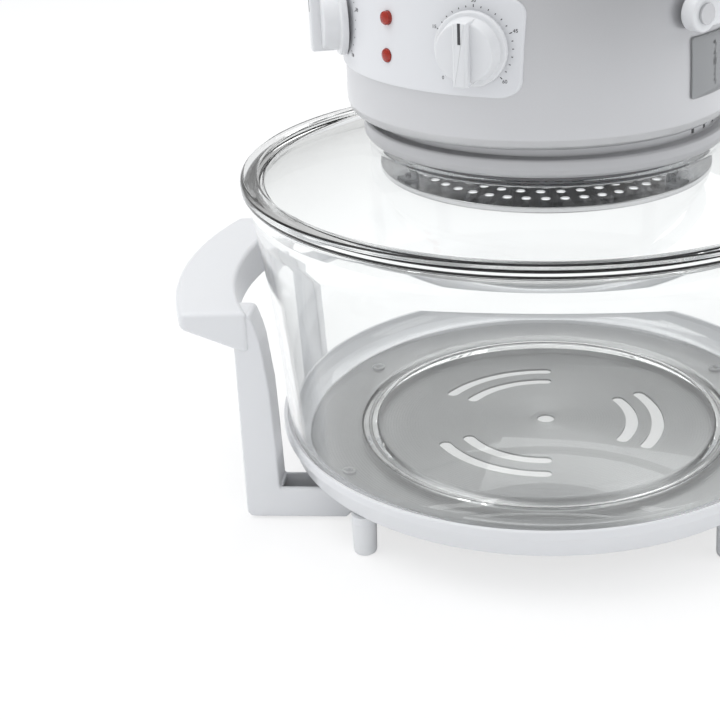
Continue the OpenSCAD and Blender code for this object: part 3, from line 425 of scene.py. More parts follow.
# %% World
world = bpy.data.worlds.new("surround")
scene.world = world
world.use_nodes = True
tree = world.node_tree
tree.nodes.clear()
lighting = node(tree, "Background", {"Color": (0.95, 0.97, 1.0, 1), "Strength": 0.78})
direction = node(tree, "SeparateXYZ", {0: node(tree, "TexCoord").outputs["Generated"]}).outputs
ramp = node(tree, "ValToRGB", {0: direction["Z"]})
stops = [(0.0, 0.68), (0.12, 0.45), (0.5, 0.55), (0.8, 1.0)]
while len(ramp.color_ramp.elements) < len(stops):
    ramp.color_ramp.elements.new(0.5)
for stop, (position, level) in zip(ramp.color_ramp.elements, stops):
    stop.position = position
    stop.color = (level, level, level, 1)
side = node(tree, "MapRange", {"Value": direction["X"], "From Min": -0.2, "From Max": 0.9,
                               "To Min": 1.0, "To Max": 0.4}, interpolation_type="SMOOTHSTEP")
seen = node(tree, "Background", {"Color": ramp.outputs["Color"], "Strength": side.outputs[0]})
rays = node(tree, "LightPath").outputs
looks = maths(tree, "ADD", rays["Is Camera Ray"], rays["Is Glossy Ray"], clamp=True)
looks = maths(tree, "ADD", looks, rays["Is Transmission Ray"], clamp=True)
mix = node(tree, "MixShader", {0: looks, 1: lighting.outputs[0], 2: seen.outputs[0]})
node(tree, "OutputWorld", {"Surface": mix.outputs[0]})

# %% [markdown]
# ## Finishes
# Each finish is a Principled shader with its plain values set on the shader itself. What changes
# over a surface, such as grain, spun lines or dimples, comes from a few node groups that several
# finishes share, each placed with its own scale and depth.


# %% Group helpers
def surface_group(name, extra, size, shade, roughness, change, depth):
    """An empty group for a surface, with its inputs: a colour, how much the shade and the
    roughness change, the pattern's size under its own label, and the depth of its relief."""
    group = bpy.data.node_groups.new(name, "ShaderNodeTree")
    kinds = {"Colour": "NodeSocketColor", "Normal": "NodeSocketVector"}
    values = {"Colour": (0.7, 0.7, 0.7, 1), "Shade": shade, "Roughness": roughness,
              "Change": change, extra: size, "Depth": depth}
    for label, value in values.items():
        kind = kinds.get(label, "NodeSocketFloat")
        group.interface.new_socket(label, in_out="INPUT", socket_type=kind).default_value = value
    for label in ("Colour", "Roughness", "Normal"):
        kind = kinds.get(label, "NodeSocketFloat")
        group.interface.new_socket(label, in_out="OUTPUT", socket_type=kind)
    return group, group.nodes.new("NodeGroupInput").outputs, node(group, "TexCoord").outputs["Object"]


def fill_outputs(group, given, shade_by, roughen_by, height):
    """The three outputs: the colour times one plus a share of one pattern, the roughness plus a
    share of another, and a bump from a height."""
    level = maths(group, "MULTIPLY_ADD", shade_by, given["Shade"], 1.0)
    scaled = node(group, "VectorMath", {0: given["Colour"], "Scale": level}, operation="SCALE")
    rough = maths(group, "MULTIPLY_ADD", roughen_by, given["Change"], given["Roughness"])
    bump = node(group, "Bump", {"Height": height, "Distance": given["Depth"], "Strength": 1.0})
    results = group.nodes.new("NodeGroupOutput").inputs
    for label, made in (("Colour", scaled), ("Normal", bump)):
        group.links.new(made.outputs[0], results[label])
    group.links.new(rough, results["Roughness"])


# %% Group for moulded and cast surfaces
grain_group, given, coords = surface_group(
    "surface_grain", "Scale", 900.0, 0.03, 0.3, 0.08, 0.00003)
fine = node(grain_group, "TexNoise", {"Vector": coords, "Scale": given["Scale"],
                                      "Detail": 3.0, "Roughness": 0.55}).outputs[0]
broad = node(grain_group, "TexNoise", {"Vector": coords, "Scale": 14.0, "Detail": 2.0}).outputs[0]
swing = maths(grain_group, "SUBTRACT", broad, 0.5)
both = maths(grain_group, "ADD", swing, maths(grain_group, "SUBTRACT", fine, 0.5))
fill_outputs(grain_group, given, both, swing, fine)

# %% Group for spun and turned metal
spun_group, given, coords = surface_group("spun_lines", "Lines", 900.0, 0.25, 0.3, 0.15, 0.00002)
flat = node(spun_group, "VectorMath", {0: coords, 1: (1, 1, 0)}, operation="MULTIPLY")
radius = node(spun_group, "VectorMath", {0: flat.outputs[0]}, operation="LENGTH").outputs["Value"]
along = maths(spun_group, "MULTIPLY", radius, given["Lines"])
lines = node(spun_group, "TexNoise", {"W": along, "Scale": 1.0, "Detail": 4.0, "Roughness": 0.6},
             noise_dimensions="1D").outputs[0]
broad = node(spun_group, "TexNoise", {"Vector": coords, "Scale": 30.0, "Detail": 3.0}).outputs[0]
cloud = maths(spun_group, "SUBTRACT", broad, 0.5)
both = maths(spun_group, "MULTIPLY_ADD", cloud, 0.4, maths(spun_group, "SUBTRACT", lines, 0.5))
fill_outputs(spun_group, given, both, both, lines)

# %% Group for dimpled foil and crystal patches
cell_group, given, coords = surface_group("metal_cells", "Scale", 260.0, 0.2, 0.2, 0.1, 0.0003)
cells = node(cell_group, "TexVoronoi", {"Vector": coords, "Scale": given["Scale"]})
dimple = node(cell_group, "TexVoronoi", {"Vector": coords, "Scale": given["Scale"],
                                         "Smoothness": 0.7}, feature="SMOOTH_F1")
tone = node(cell_group, "SeparateColor", {0: cells.outputs["Color"]}).outputs[0]
swing = maths(cell_group, "SUBTRACT", tone, 0.5)
fill_outputs(cell_group, given, swing, swing, dimple.outputs["Distance"])


# %% Finish builder
def finish(name, group, colour, plain=None, **amounts):
    """A material: a Principled shader with plain values, and a shared group for its colour,
    roughness and normal. A colour or roughness that is the same all over is set on the shader."""
    material = bpy.data.materials.new(name)
    material.use_nodes = True
    tree = material.node_tree
    shader = tree.nodes["Principled BSDF"]
    values = {**(plain or {}), "Base Color": (*colour, 1), "Roughness": amounts["Roughness"]}
    for label, value in values.items():
        shader.inputs[label].default_value = value
    effect = tree.nodes.new("ShaderNodeGroup")
    effect.node_tree = group
    for label, value in {**amounts, "Colour": (*colour, 1)}.items():
        effect.inputs[label].default_value = value
    for label, socket, varies in (("Colour", "Base Color", amounts["Shade"]),
                                  ("Roughness", "Roughness", amounts["Change"]),
                                  ("Normal", "Normal", True)):
        if varies:
            tree.links.new(effect.outputs[label], shader.inputs[socket])
    return material


# %% Plastics and rubber
white_plastic = finish(
    "white_plastic", grain_group, (0.74, 0.745, 0.755),
    {"IOR": 1.49, "Subsurface Weight": 0.12, "Subsurface Scale": 0.002,
     "Subsurface Radius": (1.0, 0.95, 0.9)},
    Shade=0.02, Roughness=0.3, Change=0.08, Scale=1400.0, Depth=0.00002)
foot_plastic = finish(
    "foot_plastic", grain_group, (0.74, 0.745, 0.75), {"IOR": 1.49},
    Shade=0.03, Roughness=0.42, Change=0.1, Scale=1400.0, Depth=0.00003)
silver_plastic = finish(
    "silver_plastic", grain_group, (0.60, 0.60, 0.61),
    {"Metallic": 0.65, "IOR": 1.5, "Coat Weight": 0.35, "Coat Roughness": 0.12},
    Shade=0.10, Roughness=0.34, Change=0.06, Scale=3200.0, Depth=0.00001)
collar_plastic = finish(
    "collar_plastic", grain_group, (0.56, 0.56, 0.57),
    {"Metallic": 0.5, "IOR": 1.5, "Coat Weight": 0.2, "Coat Roughness": 0.2},
    Shade=0.08, Roughness=0.4, Change=0.06, Scale=3000.0, Depth=0.00002)
panel_plastic = finish(
    "panel_plastic", grain_group, (0.72, 0.725, 0.74),
    {"IOR": 1.5, "Coat Weight": 0.3, "Coat Roughness": 0.1},
    Shade=0.02, Roughness=0.38, Change=0.05, Scale=2200.0, Depth=0.00002)
dark_plastic = finish(
    "dark_plastic", grain_group, (0.035, 0.036, 0.038), {"IOR": 1.5},
    Shade=0.2, Roughness=0.45, Change=0.12, Scale=1500.0, Depth=0.00004)
ivory_plastic = finish(
    "ivory_plastic", grain_group, (0.70, 0.66, 0.55), {"IOR": 1.5},
    Shade=0.05, Roughness=0.4, Change=0.1, Scale=1200.0, Depth=0.00003)
grille_plastic = finish(
    "grille_plastic", grain_group, (0.30, 0.305, 0.31), {"IOR": 1.5},
    Shade=0.08, Roughness=0.42, Change=0.08, Scale=2000.0, Depth=0.00002)
silicone = finish(
    "silicone", grain_group, (0.16, 0.16, 0.165), {"IOR": 1.43, "Subsurface Weight": 0.1,
                                                   "Subsurface Scale": 0.001},
    Shade=0.1, Roughness=0.6, Change=0.15, Scale=700.0, Depth=0.00006)
mark_ink = finish(
    "mark_ink", grain_group, (0.05, 0.05, 0.055), {"IOR": 1.5},
    Shade=0.3, Roughness=0.5, Change=0.1, Scale=2500.0, Depth=0.00001)
ceramic = finish(
    "ceramic", grain_group, (0.78, 0.75, 0.68), {"IOR": 1.6},
    Shade=0.08, Roughness=0.55, Change=0.15, Scale=1100.0, Depth=0.0001)

# %% Metals
metal = {"Metallic": 1.0}
spun_plate = finish(
    "spun_plate", spun_group, (0.44, 0.44, 0.445), metal,
    Shade=0.30, Roughness=0.34, Change=0.16, Lines=1500.0, Depth=0.00004)
bright_steel = finish(
    "bright_steel", spun_group, (0.70, 0.70, 0.71), metal,
    Shade=0.12, Roughness=0.14, Change=0.10, Lines=600.0, Depth=0.00001)
sheet_steel = finish(
    "sheet_steel", cell_group, (0.62, 0.63, 0.64), metal,
    Shade=0.18, Roughness=0.30, Change=0.18, Scale=160.0, Depth=0.00002)
foil_steel = finish(
    "foil_steel", cell_group, (0.78, 0.78, 0.775), metal,
    Shade=0.12, Roughness=0.16, Change=0.10, Scale=330.0, Depth=0.0006)
screw_steel = finish(
    "screw_steel", grain_group, (0.60, 0.60, 0.61), metal,
    Shade=0.15, Roughness=0.24, Change=0.14, Scale=1800.0, Depth=0.00003)
iron_stack = finish(
    "iron_stack", grain_group, (0.36, 0.36, 0.37), metal,
    Shade=0.2, Roughness=0.42, Change=0.15, Scale=1500.0, Depth=0.00005)
tungsten = finish(
    "tungsten", grain_group, (0.30, 0.29, 0.28), metal,
    Shade=0.2, Roughness=0.35, Change=0.1, Scale=4000.0, Depth=0.00001)
copper_wire = finish(
    "copper_wire", grain_group, (0.72, 0.33, 0.16), {"Metallic": 1.0, "Coat Weight": 0.8},
    Shade=0.15, Roughness=0.25, Change=0.1, Scale=1500.0, Depth=0.00002)
bronze = finish(
    "bronze", grain_group, (0.66, 0.48, 0.26), metal,
    Shade=0.15, Roughness=0.32, Change=0.1, Scale=1500.0, Depth=0.00003)

# %% Glass and lenses
clear_glass = finish(
    "clear_glass", grain_group, (0.985, 0.993, 0.99),
    {"Transmission Weight": 1.0, "IOR": 1.47},
    Shade=0.0, Roughness=0.0, Change=0.0, Scale=26.0, Depth=0.00001)
quartz_glass = finish(
    "quartz_glass", grain_group, (0.97, 0.975, 0.98),
    {"Transmission Weight": 1.0, "IOR": 1.46},
    Shade=0.0, Roughness=0.01, Change=0.02, Scale=60.0, Depth=0.0001)
signal_red = finish(
    "signal_red", grain_group, (0.75, 0.06, 0.03),
    {"Transmission Weight": 0.6, "IOR": 1.49},
    Shade=0.1, Roughness=0.12, Change=0.05, Scale=900.0, Depth=0.00003)
print("finishes:", len(bpy.data.materials))

# %% [markdown]
# ## The floor
# A wide pale sheet stands in for a studio sweep. Its own colour makes the background white, so the
# lamps can stay gentle. For the camera most of it is plain white, which leaves the object's
# shadow as faint as in a bright studio.

# %% Floor
floor_mesh = bpy.data.meshes.new("floor")
floor_half, FLOOR_WHITE = 6.0, 0.7
floor_corners = [(x * floor_half, y * floor_half, 0) for x, y in ((-1, -1), (1, -1), (1, 1), (-1, 1))]
floor_mesh.from_pydata(floor_corners, [], [(0, 1, 2, 3)])
floor = bpy.data.objects.new("floor", floor_mesh)
scene.collection.objects.link(floor)
floor_paint = finish(
    "floor_paint", grain_group, (0.96, 0.96, 0.96), {"Specular IOR Level": 0.0},
    Shade=0.005, Roughness=0.9, Change=0.0, Scale=200.0, Depth=0.0)
tree = floor_paint.node_tree
rays = node(tree, "LightPath").outputs
looks = maths(tree, "ADD", rays["Is Camera Ray"], rays["Is Transmission Ray"], clamp=True)
share = maths(tree, "MULTIPLY", looks, FLOOR_WHITE)
mix = node(tree, "MixShader", {0: share, 1: tree.nodes["Principled BSDF"].outputs[0],
                               2: node(tree, "Emission").outputs[0]})
tree.links.new(mix.outputs[0], tree.nodes["Material Output"].inputs["Surface"])
floor_mesh.materials.append(floor_paint)

# %% [markdown]
# ## The stand ring and its feet
# The ring is one white moulding: an upright wall in two tiers, a sloping seat for the bowl's
# corner and a ledge for the base plate. It is turned from one outline, and the four bosses under
# it are joined on with a Boolean. The feet are pegs pushed into those bosses.

# %% Sizes of the stand
BOWL_R, RING_R, RING_IN_R = 147.8, 150.5, 148.3
FOOT_H, PLATE_Z, PLATE_TOP, RING_TOP, TIER_Z = 18.8, 20.6, 21.8, 40.2, 34.0
SEAT_R, LEDGE_R, PEG_TOP, FOOT_R = 138.4, 118.4, 18.2, 6.5
SCREW_R, LEG_Y = 99.0 + 7.0, 65.53
foot_places = [(x * 93.91, y * 105.03) for x in (-1, 1) for y in (-1, 1)]
screw_places = [(x * SCREW_R, y * LEG_Y) for x in (-1, 1) for y in (-1, 1)]

# %% Stand ring
ring_outline = rounded([
    (LEDGE_R, FOOT_H, 0.5), (137.5, FOOT_H, 1.0), (140.0, 20.4, 1.5), (143.0, 22.3, 2.0),
    (145.7, 24.0, 2.0), (149.0, TIER_Z, 1.0), (150.1, 34.5, 0.5), (RING_R, 35.6, 0.8),
    (RING_R, RING_TOP, 1.0), (RING_IN_R, RING_TOP, 0.8), (RING_IN_R - 0.3, 36.6, 1.5),
    (145.2, 30.0, 3.0), (141.5, 25.5, 3.0), (SEAT_R, 23.0, 0.8), (SEAT_R, PLATE_Z, 0.3),
    (LEDGE_R, PLATE_Z, 0.5)])
bosses = at_places(disc(FOOT_R, PEG_TOP, PLATE_Z + 2), foot_places)
sockets = at_places(disc(2.6, PEG_TOP - 1, PEG_TOP + 3), foot_places)
screw_holes = at_places(disc(1.6, FOOT_H - 1, PLATE_Z + 1), screw_places)
seat_cut = disc(SEAT_R - 0.02, PLATE_Z, PLATE_Z + 2.4, 192)
piece("ring_moulding", revolve(ring_outline, 256), white_plastic, "stand",
      ["stand_ring"],
      add(bosses) + cut(sockets, seat_cut, screw_holes))

# %% Feet
foot_outline = rounded([
    (0, 0, 0), (5.0, 0, 0.6), (5.8, 0.6, 0.5), (6.1, 2.0, 1.0), (FOOT_R, PEG_TOP, 0.25),
    (2.6, PEG_TOP, 0), (2.6, PEG_TOP + 3, 0.3), (0, PEG_TOP + 3, 0)], closed=False)
foot = revolve(foot_outline, 64, closed=False)
piece("foot_pegs", at_places(foot, foot_places), foot_plastic, "stand",
      ["stand_feet"])

# %% [markdown]
# ## The base plate
# The plate is spun from sheet metal, and the tool leaves fine rings on it. They catch the light,
# so they are real grooves here, not only a bump: the height falls by a cosine of the radius. The
# curved slots come in pairs and are cut through.


# %% Base plate
def curved_slot(radius, half_width, half_angle, low, high):
    """A slot along an arc, round at both ends."""
    end = math.radians(half_angle)
    x, y = radius * math.cos(end), radius * math.sin(end)
    outline = np.concatenate([
        arc(0, 0, radius + half_width, -half_angle, half_angle, 24),
        arc(x, y, half_width, half_angle + 15, half_angle + 165, 8),
        arc(0, 0, radius - half_width, half_angle, -half_angle, 24),
        arc(x, -y, half_width, 195 - half_angle, 345 - half_angle, 8)])
    return plate(outline, low, high)


PLATE_R, GROOVE_PITCH, GROOVE_DEPTH = 138.0, 1.6, 0.13
groove_count = int((PLATE_R - 4 - 8) / GROOVE_PITCH)
groove_r = 8 + np.arange(groove_count * 4 + 1) * GROOVE_PITCH / 4
groove_z = PLATE_TOP - GROOVE_DEPTH * 0.5 * (1 - np.cos(2 * np.pi * (groove_r - 8) / GROOVE_PITCH))
plate_outline = np.concatenate([
    [(5.0, PLATE_Z), (5.0, PLATE_TOP - 0.2), (5.2, PLATE_TOP)],
    np.stack([groove_r, groove_z], 1),
    [(PLATE_R - 0.3, PLATE_TOP), (PLATE_R, PLATE_TOP - 0.3), (PLATE_R, PLATE_Z)]])
slots = join(*[at_angles(curved_slot(r, 3.6, 30, PLATE_Z - 1, PLATE_TOP + 1), (0, 120, 240))
               for r in (50.3, 65.3)])
plate_holes = at_places(disc(1.6, PLATE_Z - 1, PLATE_TOP + 1), screw_places)
piece("grooved_plate", revolve(plate_outline, 160), spun_plate, "stand",
      ["base_plate"], cut(slots, plate_holes))

# %% [markdown]
# ## The side handles
# Each handle is one moulding: two hollow legs that reach under the ring, and a hollow grip
# between their tops. The legs are closed towards the bowl, and only their lower arms show their
# hollow, from above. They are flat outlines given thickness with rounded rims. The grip is a block
# bent along the bowl: at each distance y from the middle, a point that lies r from the bowl's axis
# goes to x = the root of r squared less y squared. Its hollow is a smaller block, cut away.

# %% Handle sizes
LEG_W, LEG_OUT, HANDLE_WALL, BEAM_Z, BEAM_TOP, BEAM_END = 19.0, 162.0, 2.5, 1.4, 18.8, 99.0
GRIP_IN_R, GRIP_OUT_R, GRIP_TOP, GRIP_HALF = 171.0, 203.5, 122.0, 76.03
leg_inner = np.array([(152.7, 120), (150.9, 115), (149.4, 110), (148, 104), (147, 95), (145, 77),
                      (144, 47), (143.4, BEAM_TOP)])

# %% Handle legs
leg_outline = rounded(np.concatenate([
    [(BEAM_END, BEAM_TOP, 1.4), (BEAM_END, BEAM_Z + 9, 1.5), (BEAM_END + 9, BEAM_Z, 2.0),
     (LEG_OUT, BEAM_Z, 4.0), (LEG_OUT, GRIP_TOP - 2, 1.4)],
    with_radius(leg_inner[:1], 4.0), with_radius(leg_inner[1:-1], 12.0),
    with_radius(leg_inner[-1:], 1.4)]), steps=7)
core_inner = leg_inner[4:] + (HANDLE_WALL, 0)
core_outline = np.concatenate([
    [(BEAM_END + 12, BEAM_Z + HANDLE_WALL), (LEG_OUT - HANDLE_WALL, BEAM_Z + HANDLE_WALL),
     (LEG_OUT - HANDLE_WALL, 102.0), (150.3, 102.0)], core_inner[:-1],
    [(145.9, BEAM_TOP - 2.5), (142.4, BEAM_TOP - 2.5), (142.4, BEAM_TOP + 1),
     (BEAM_END + 12, BEAM_TOP + 1)]])
leg = along_y(plate(leg_outline, -LEG_W / 2, LEG_W / 2, 1.3, 5))
core = along_y(plate(core_outline, HANDLE_WALL - LEG_W / 2, LEG_W / 2 - HANDLE_WALL))


# %% Handle grip
def on_grip(shape):
    """Bends a block whose X is the distance r from the bowl's axis, Y the height and Z the
    distance along the grip."""
    return bent(shape, lambda r, up, y: (np.sqrt(r * r - y * y), y, up))


def long_plate(outline, half, edge, rows=24):
    """A flat outline given length from -half to half, with rounded ends and rows between."""
    count = len(outline)
    rings = plate(outline, -half, half, edge, 6)[0].reshape(-1, count, 3)
    share = np.linspace(0, 1, rows)[1:-1, None, None]
    middle_rings = rings[5] + (rings[6] - rings[5]) * share
    rings = np.concatenate([rings[:6], middle_rings, rings[6:]])
    faces = grid_faces(len(rings), count, False, True)
    return rings.reshape(-1, 3), faces, end_caps(count, len(rings))


grip_outline = rounded([
    (GRIP_IN_R, GRIP_TOP - 24, 2.6), (GRIP_OUT_R, GRIP_TOP - 10, 4.5),
    (GRIP_OUT_R, GRIP_TOP - 1.2, 3.0), (GRIP_IN_R, GRIP_TOP, 2.6)], steps=8)
grip_cavity = rounded([
    (GRIP_IN_R + 2.5, GRIP_TOP - 40, 0), (GRIP_OUT_R - 2.5, GRIP_TOP - 40, 0),
    (GRIP_OUT_R - 2.5, GRIP_TOP - 4.0, 2.0), (GRIP_IN_R + 2.5, GRIP_TOP - 2.6, 1.0)])
grip = on_grip(long_plate(grip_outline, GRIP_HALF, 2.6))
cavity = on_grip(long_plate(grip_cavity, GRIP_HALF - HANDLE_WALL, 0.01))
leg_places = [(0, -LEG_Y), (0, LEG_Y)]
legs = [moved(leg, *place) for place in leg_places]
cores = at_places(core, leg_places)
screw_bores = moved(at_places(disc(1.6, 9.8, 19.8), leg_places), SCREW_R)
for name, degrees in (("left_handle", 180), ("right_handle", 0)):
    steps = [(kind, turned(other, degrees))
             for kind, other in cut(cavity) + add(*legs) + cut(cores, screw_bores)]
    piece(name + "_moulding", turned(grip, degrees), white_plastic, "stand",
          [name], steps)

# %% [markdown]
# ## The glass bowl
# The bowl is pressed glass with a wall four millimetres thick, leaning out towards a heavy rim.
# Glass only looks right as a closed shell with a true inner and outer face, because light bends
# at both. The outline runs from the axis under the base, up the outside, and back down inside. A
# small bead runs round under the base, just above the plate.


# %% Bowl
def let_light_through(obj):
    """Clear glass stops the lamps' light in Cycles. With these two switches off, light falls on
    what is inside as if the glass were not there, and the camera still sees the glass."""
    obj.visible_shadow = False
    obj.visible_diffuse = False


def wall_r(share):
    """Outer radius of the wall at a share of its height: it leans out more towards the neck."""
    return BOWL_R + 11.6 * (0.48 * share + 0.52 * share**2)


BASE_Z, RIM_Z, NECK_R, RIM_R, GLASS_T = 26.2, 175.0, 159.4, 161.4, 4.0
WALL_FOOT, WALL_NECK = 48.5, 157.7
share = np.linspace(0, 1, 28)
heights = WALL_FOOT + (WALL_NECK - WALL_FOOT) * share
outside = np.stack([wall_r(share), heights], 1)
inside = np.stack([wall_r(share) - GLASS_T, heights], 1)[::-1]
bowl_corners = np.concatenate([
    with_radius([(0, BASE_Z)]),
    [(97.5, BASE_Z, 2.5), (101.2, 22.1, 1.4), (102.8, 22.1, 1.4), (106.5, BASE_Z, 2.5)],
    with_radius(arc(129.5, 44.2, 18, -90, -3, 14)),
    with_radius(outside),
    [(160.3, 163.4, 9.0), (RIM_R, 168.4, 3.0), (RIM_R, RIM_Z, 2.6), (NECK_R - GLASS_T, RIM_Z, 1.8)],
    with_radius(inside),
    with_radius(arc(129.5, 44.2, 14, -3, -90, 12)),
    with_radius([(0, BASE_Z + GLASS_T)])])
bowl_outline = rounded(bowl_corners, closed=False, steps=6)
let_light_through(piece(
    "bowl_glass", revolve(bowl_outline, 288, closed=False), clear_glass, "bowl",
    ["glass_bowl"], sharp=60))

# %% [markdown]
# ## The glass lid
# The lid is a shallow dome with a heavy flange at its edge, a lip that drops inside the bowl and
# a flat land round the hole for the head. The flange shows as bright and dark bands, one for each
# of its faces, so its outline is rounded finely.

# %% Lid
LID_Z, LAND_Z, LID_HOLE_R, LAND_R, WEB_R, LID_T = 175.3, 198.0, 78.0, 93.0, 153.0, 4.5


def dome_z(r):
    """Height of the dome's upper face at a radius, on a shallow paraboloid."""
    return LAND_Z - 19.0 * (r * r - LAND_R**2) / (WEB_R**2 - LAND_R**2)


dome_r = np.linspace(LAND_R, WEB_R, 30)
lid_corners = np.concatenate([
    [(LID_HOLE_R, LAND_Z - LID_T, 0.8), (LID_HOLE_R, LAND_Z, 0.8)],
    with_radius(np.stack([dome_r, dome_z(dome_r)], 1)),
    [(155.4, 181.7, 1.0), (156.6, 182.0, 1.5), (164.6, 182.0, 2.2), (164.6, LID_Z, 1.6),
     (154.5, LID_Z, 0.6), (154.1, 171.3, 0.9), (151.9, 171.3, 0.9), (150.9, 174.1, 1.5)],
    with_radius(np.stack([dome_r, dome_z(dome_r) - LID_T], 1)[-2::-1])])
let_light_through(piece(
    "lid_dome", revolve(rounded(lid_corners, steps=6), 288), clear_glass, "lid",
    ["lid_glass"], sharp=60))

# %% Lid gaskets
upper_gasket = revolve(oblong((82, 91), (198, 199), 0.4))
lower_gasket = revolve(oblong((79, 86), (192.7, 193.5), 0.3))
piece("silicone_rings", join(upper_gasket, lower_gasket), silicone, "lid",
      ["lid_gaskets"])

# %% [markdown]
# ## The head's frame of directions
# The head faces the corner between the left handle and the camera. Its own front is -Y before it
# is turned by 45 degrees, and the housing is set five millimetres forward of the bowl's axis.


# %% Head placing
def in_head(shape):
    """Turns a shape from the head's own directions to the table's."""
    return turned(shape, -45)


def in_shell(shape):
    """Places a shape that is centred on the housing."""
    return in_head(moved(shape, 0, -5, 0))


DECK_TOP, SHELL_Z, COVER_Z, SHELL_R, SHELL_WALL = 210.0, 216.0, 290.0, 101.5, 2.5


def belly(height):
    """Radius of the housing at a height above its lower edge: it draws in towards the top."""
    return SHELL_R - 3.5 * (np.maximum(0, height - 9) / 65) ** 2


def on_circle(radius, angles):
    """Places (x, y) on a circle, at angles in degrees."""
    return [(radius * math.cos(math.radians(a)), radius * math.sin(math.radians(a))) for a in angles]


PILLAR_ANGLES = (-155, -25, 55, 125)
pillar_places, clamp_places = on_circle(80, PILLAR_ANGLES), on_circle(73.8, range(0, 360, 60))

# %% [markdown]
# ## Collar, housing and cover
# The collar sits on the lid and the housing rests on it above a recess, which has air slots on the
# side away from the panel. The housing is a short barrel that draws in towards the top, and the
# cover closes it with a low dome and four screws in deep round wells.

# %% Collar
collar_outline = rounded([
    (83, 199, 0.3), (91, 199, 0.5), (95.9, 200.6, 1.8), (97.1, 202.2, 1.8), (97.5, 204.5, 2.0),
    (97.3, DECK_TOP, 1.6), (92, DECK_TOP, 0.5), (92, SHELL_Z, 0), (90, SHELL_Z, 0),
    (90, DECK_TOP, 0.5), (66, DECK_TOP, 0.3), (66, 207, 0.3), (83, 207, 0.3)])
air_slots = at_angles(box((87, 97), (-1.2, 1.2), (211.2, 214.8), 0.5), np.arange(-37.5, 128, 7.5))
collar_bosses = in_head(at_places(disc(3.7, 193.7, DECK_TOP - 0.5), clamp_places))
collar_bores = in_head(at_places(disc(1.5, 192.7, 203.5), clamp_places))
collar_wells = in_shell(at_places(disc(4, 198, 207), pillar_places))
collar_holes = in_shell(at_places(disc(1.5, 206, 211), pillar_places))
piece("collar_moulding", revolve(collar_outline, 240), collar_plastic, "lid",
      ["head_collar"],
      cut(air_slots) + add(collar_bosses) + cut(collar_bores, collar_wells, collar_holes))

# %% Housing
rise = np.linspace(9, 74, 24)
housing_corners = np.concatenate([
    [(91.5, SHELL_Z, 0.3), (97.6, SHELL_Z, 1.5), (100.4, 217.8, 2.5), (101.4, 221.5, 4.0)],
    with_radius(np.stack([belly(rise), SHELL_Z + rise], 1)),
    with_radius(np.stack([belly(rise) - SHELL_WALL, SHELL_Z + rise], 1)[::-1]),
    [(98.0, 218.5, 1.0), (91.5, 218.5, 0.3)]])
pillars = at_places(disc(4, 210.1, COVER_Z), pillar_places)
ribs = at_angles(box((80, 96.5), (-1, 1), (SHELL_Z, COVER_Z)), PILLAR_ANGLES)
bores = join(at_places(disc(1.5, 209, 228), pillar_places),
             at_places(disc(1.5, 278, 291), pillar_places))
HINGE_Z, KNOB_Z, KNOB_ANGLES = 276.0, 265.0, (-118, -62)
LENS_HEIGHTS, GLAND_Z = (256, 274), 225.5
hinge_bosses = at_angles(moved(along_x(disc(7, 88, 97)), 0, 0, HINGE_Z), (0, 180))
hinge_holes = at_angles(moved(along_x(disc(3.05, 87, 110)), 0, 0, HINGE_Z), (0, 180))
unit_bosses, unit_bores = [
    at_angles(join(*[moved(along_x(bar), 0, side * 11, KNOB_Z) for side in (-1, 1)]), KNOB_ANGLES)
    for bar in (disc(4, 86.5, 98.5), disc(1.5, 85.5, 112))]
spindle_holes = at_angles(moved(along_x(disc(4.5, 85, 112)), 0, 0, KNOB_Z), KNOB_ANGLES)
lens_holes = join(*[moved(along_y(disc(3.5, 80, 110)), 0, 0, z) for z in LENS_HEIGHTS])
gland_hole = moved(along_y(disc(5.5, -110, -80)), 0, 0, GLAND_Z)
shelf = box((79, 98.2), (-18, 6), (236, 240))
window_outline = np.concatenate([arc(0, 0, 120, 6, 174, 60), arc(0, 0, 85, 174, 6, 60)])
window = plate(window_outline, 236, 260)
piece("housing_shell", in_shell(revolve(rounded(housing_corners), 256)), silver_plastic, "lid",
      ["housing"],
      add(pillars, ribs, hinge_bosses, unit_bosses, shelf, place=in_shell)
      + cut(bores, window, spindle_holes, unit_bores, lens_holes, hinge_holes, gland_hole,
            place=in_shell))

# %% Top cover
quarter = np.radians(np.linspace(4, 90, 22))
cover_corners = np.concatenate([
    with_radius(np.stack([94 * np.cos(quarter), 294 + 9.2 * np.sin(quarter)], 1)[::-1]),
    [(94, 292, 0.5), (93.3, 290, 0.3), (93.3, 286, 0.3), (95.3, 286, 0.3), (95.3, COVER_Z, 0),
     (98.0, COVER_Z, 0.7), (97.4, 295, 3.0)],
    with_radius(np.stack([96.8 * np.cos(quarter), 296 + 10 * np.sin(quarter)], 1))])
cover_corners[0, 0] = cover_corners[-1, 0] = 0
cover_bosses = at_places(disc(5.2, COVER_Z, 299.5), pillar_places)
cover_bores = at_places(disc(1.5, 289, 297), pillar_places)
cover_wells = at_places(disc(3.4, 295, 310), pillar_places)
piece("cover_shell", in_shell(revolve(rounded(cover_corners, closed=False), 240, closed=False)),
      silver_plastic, "lid", ["top_cover"],
      add(cover_bosses, place=in_shell) + cut(cover_bores, cover_wells, place=in_shell))

# %% [markdown]
# ## Control panel, knobs and lights
# The panel is a thin plate that follows the barrel of the housing. A flat outline is filled with
# rings that shrink towards its middle, and then each point is pushed back onto the barrel, so the
# face has enough points to bend smoothly. The scales are plain ticks and numbers.


# %% Panel surface
def on_barrel(shape):
    """Bends a shape whose X is sideways, Y the height and Z the distance in front of the
    housing's surface."""
    return bent(shape, lambda x, up, out: (
        x, -np.sqrt((belly(up - SHELL_Z) + out) ** 2 - x * x), up))


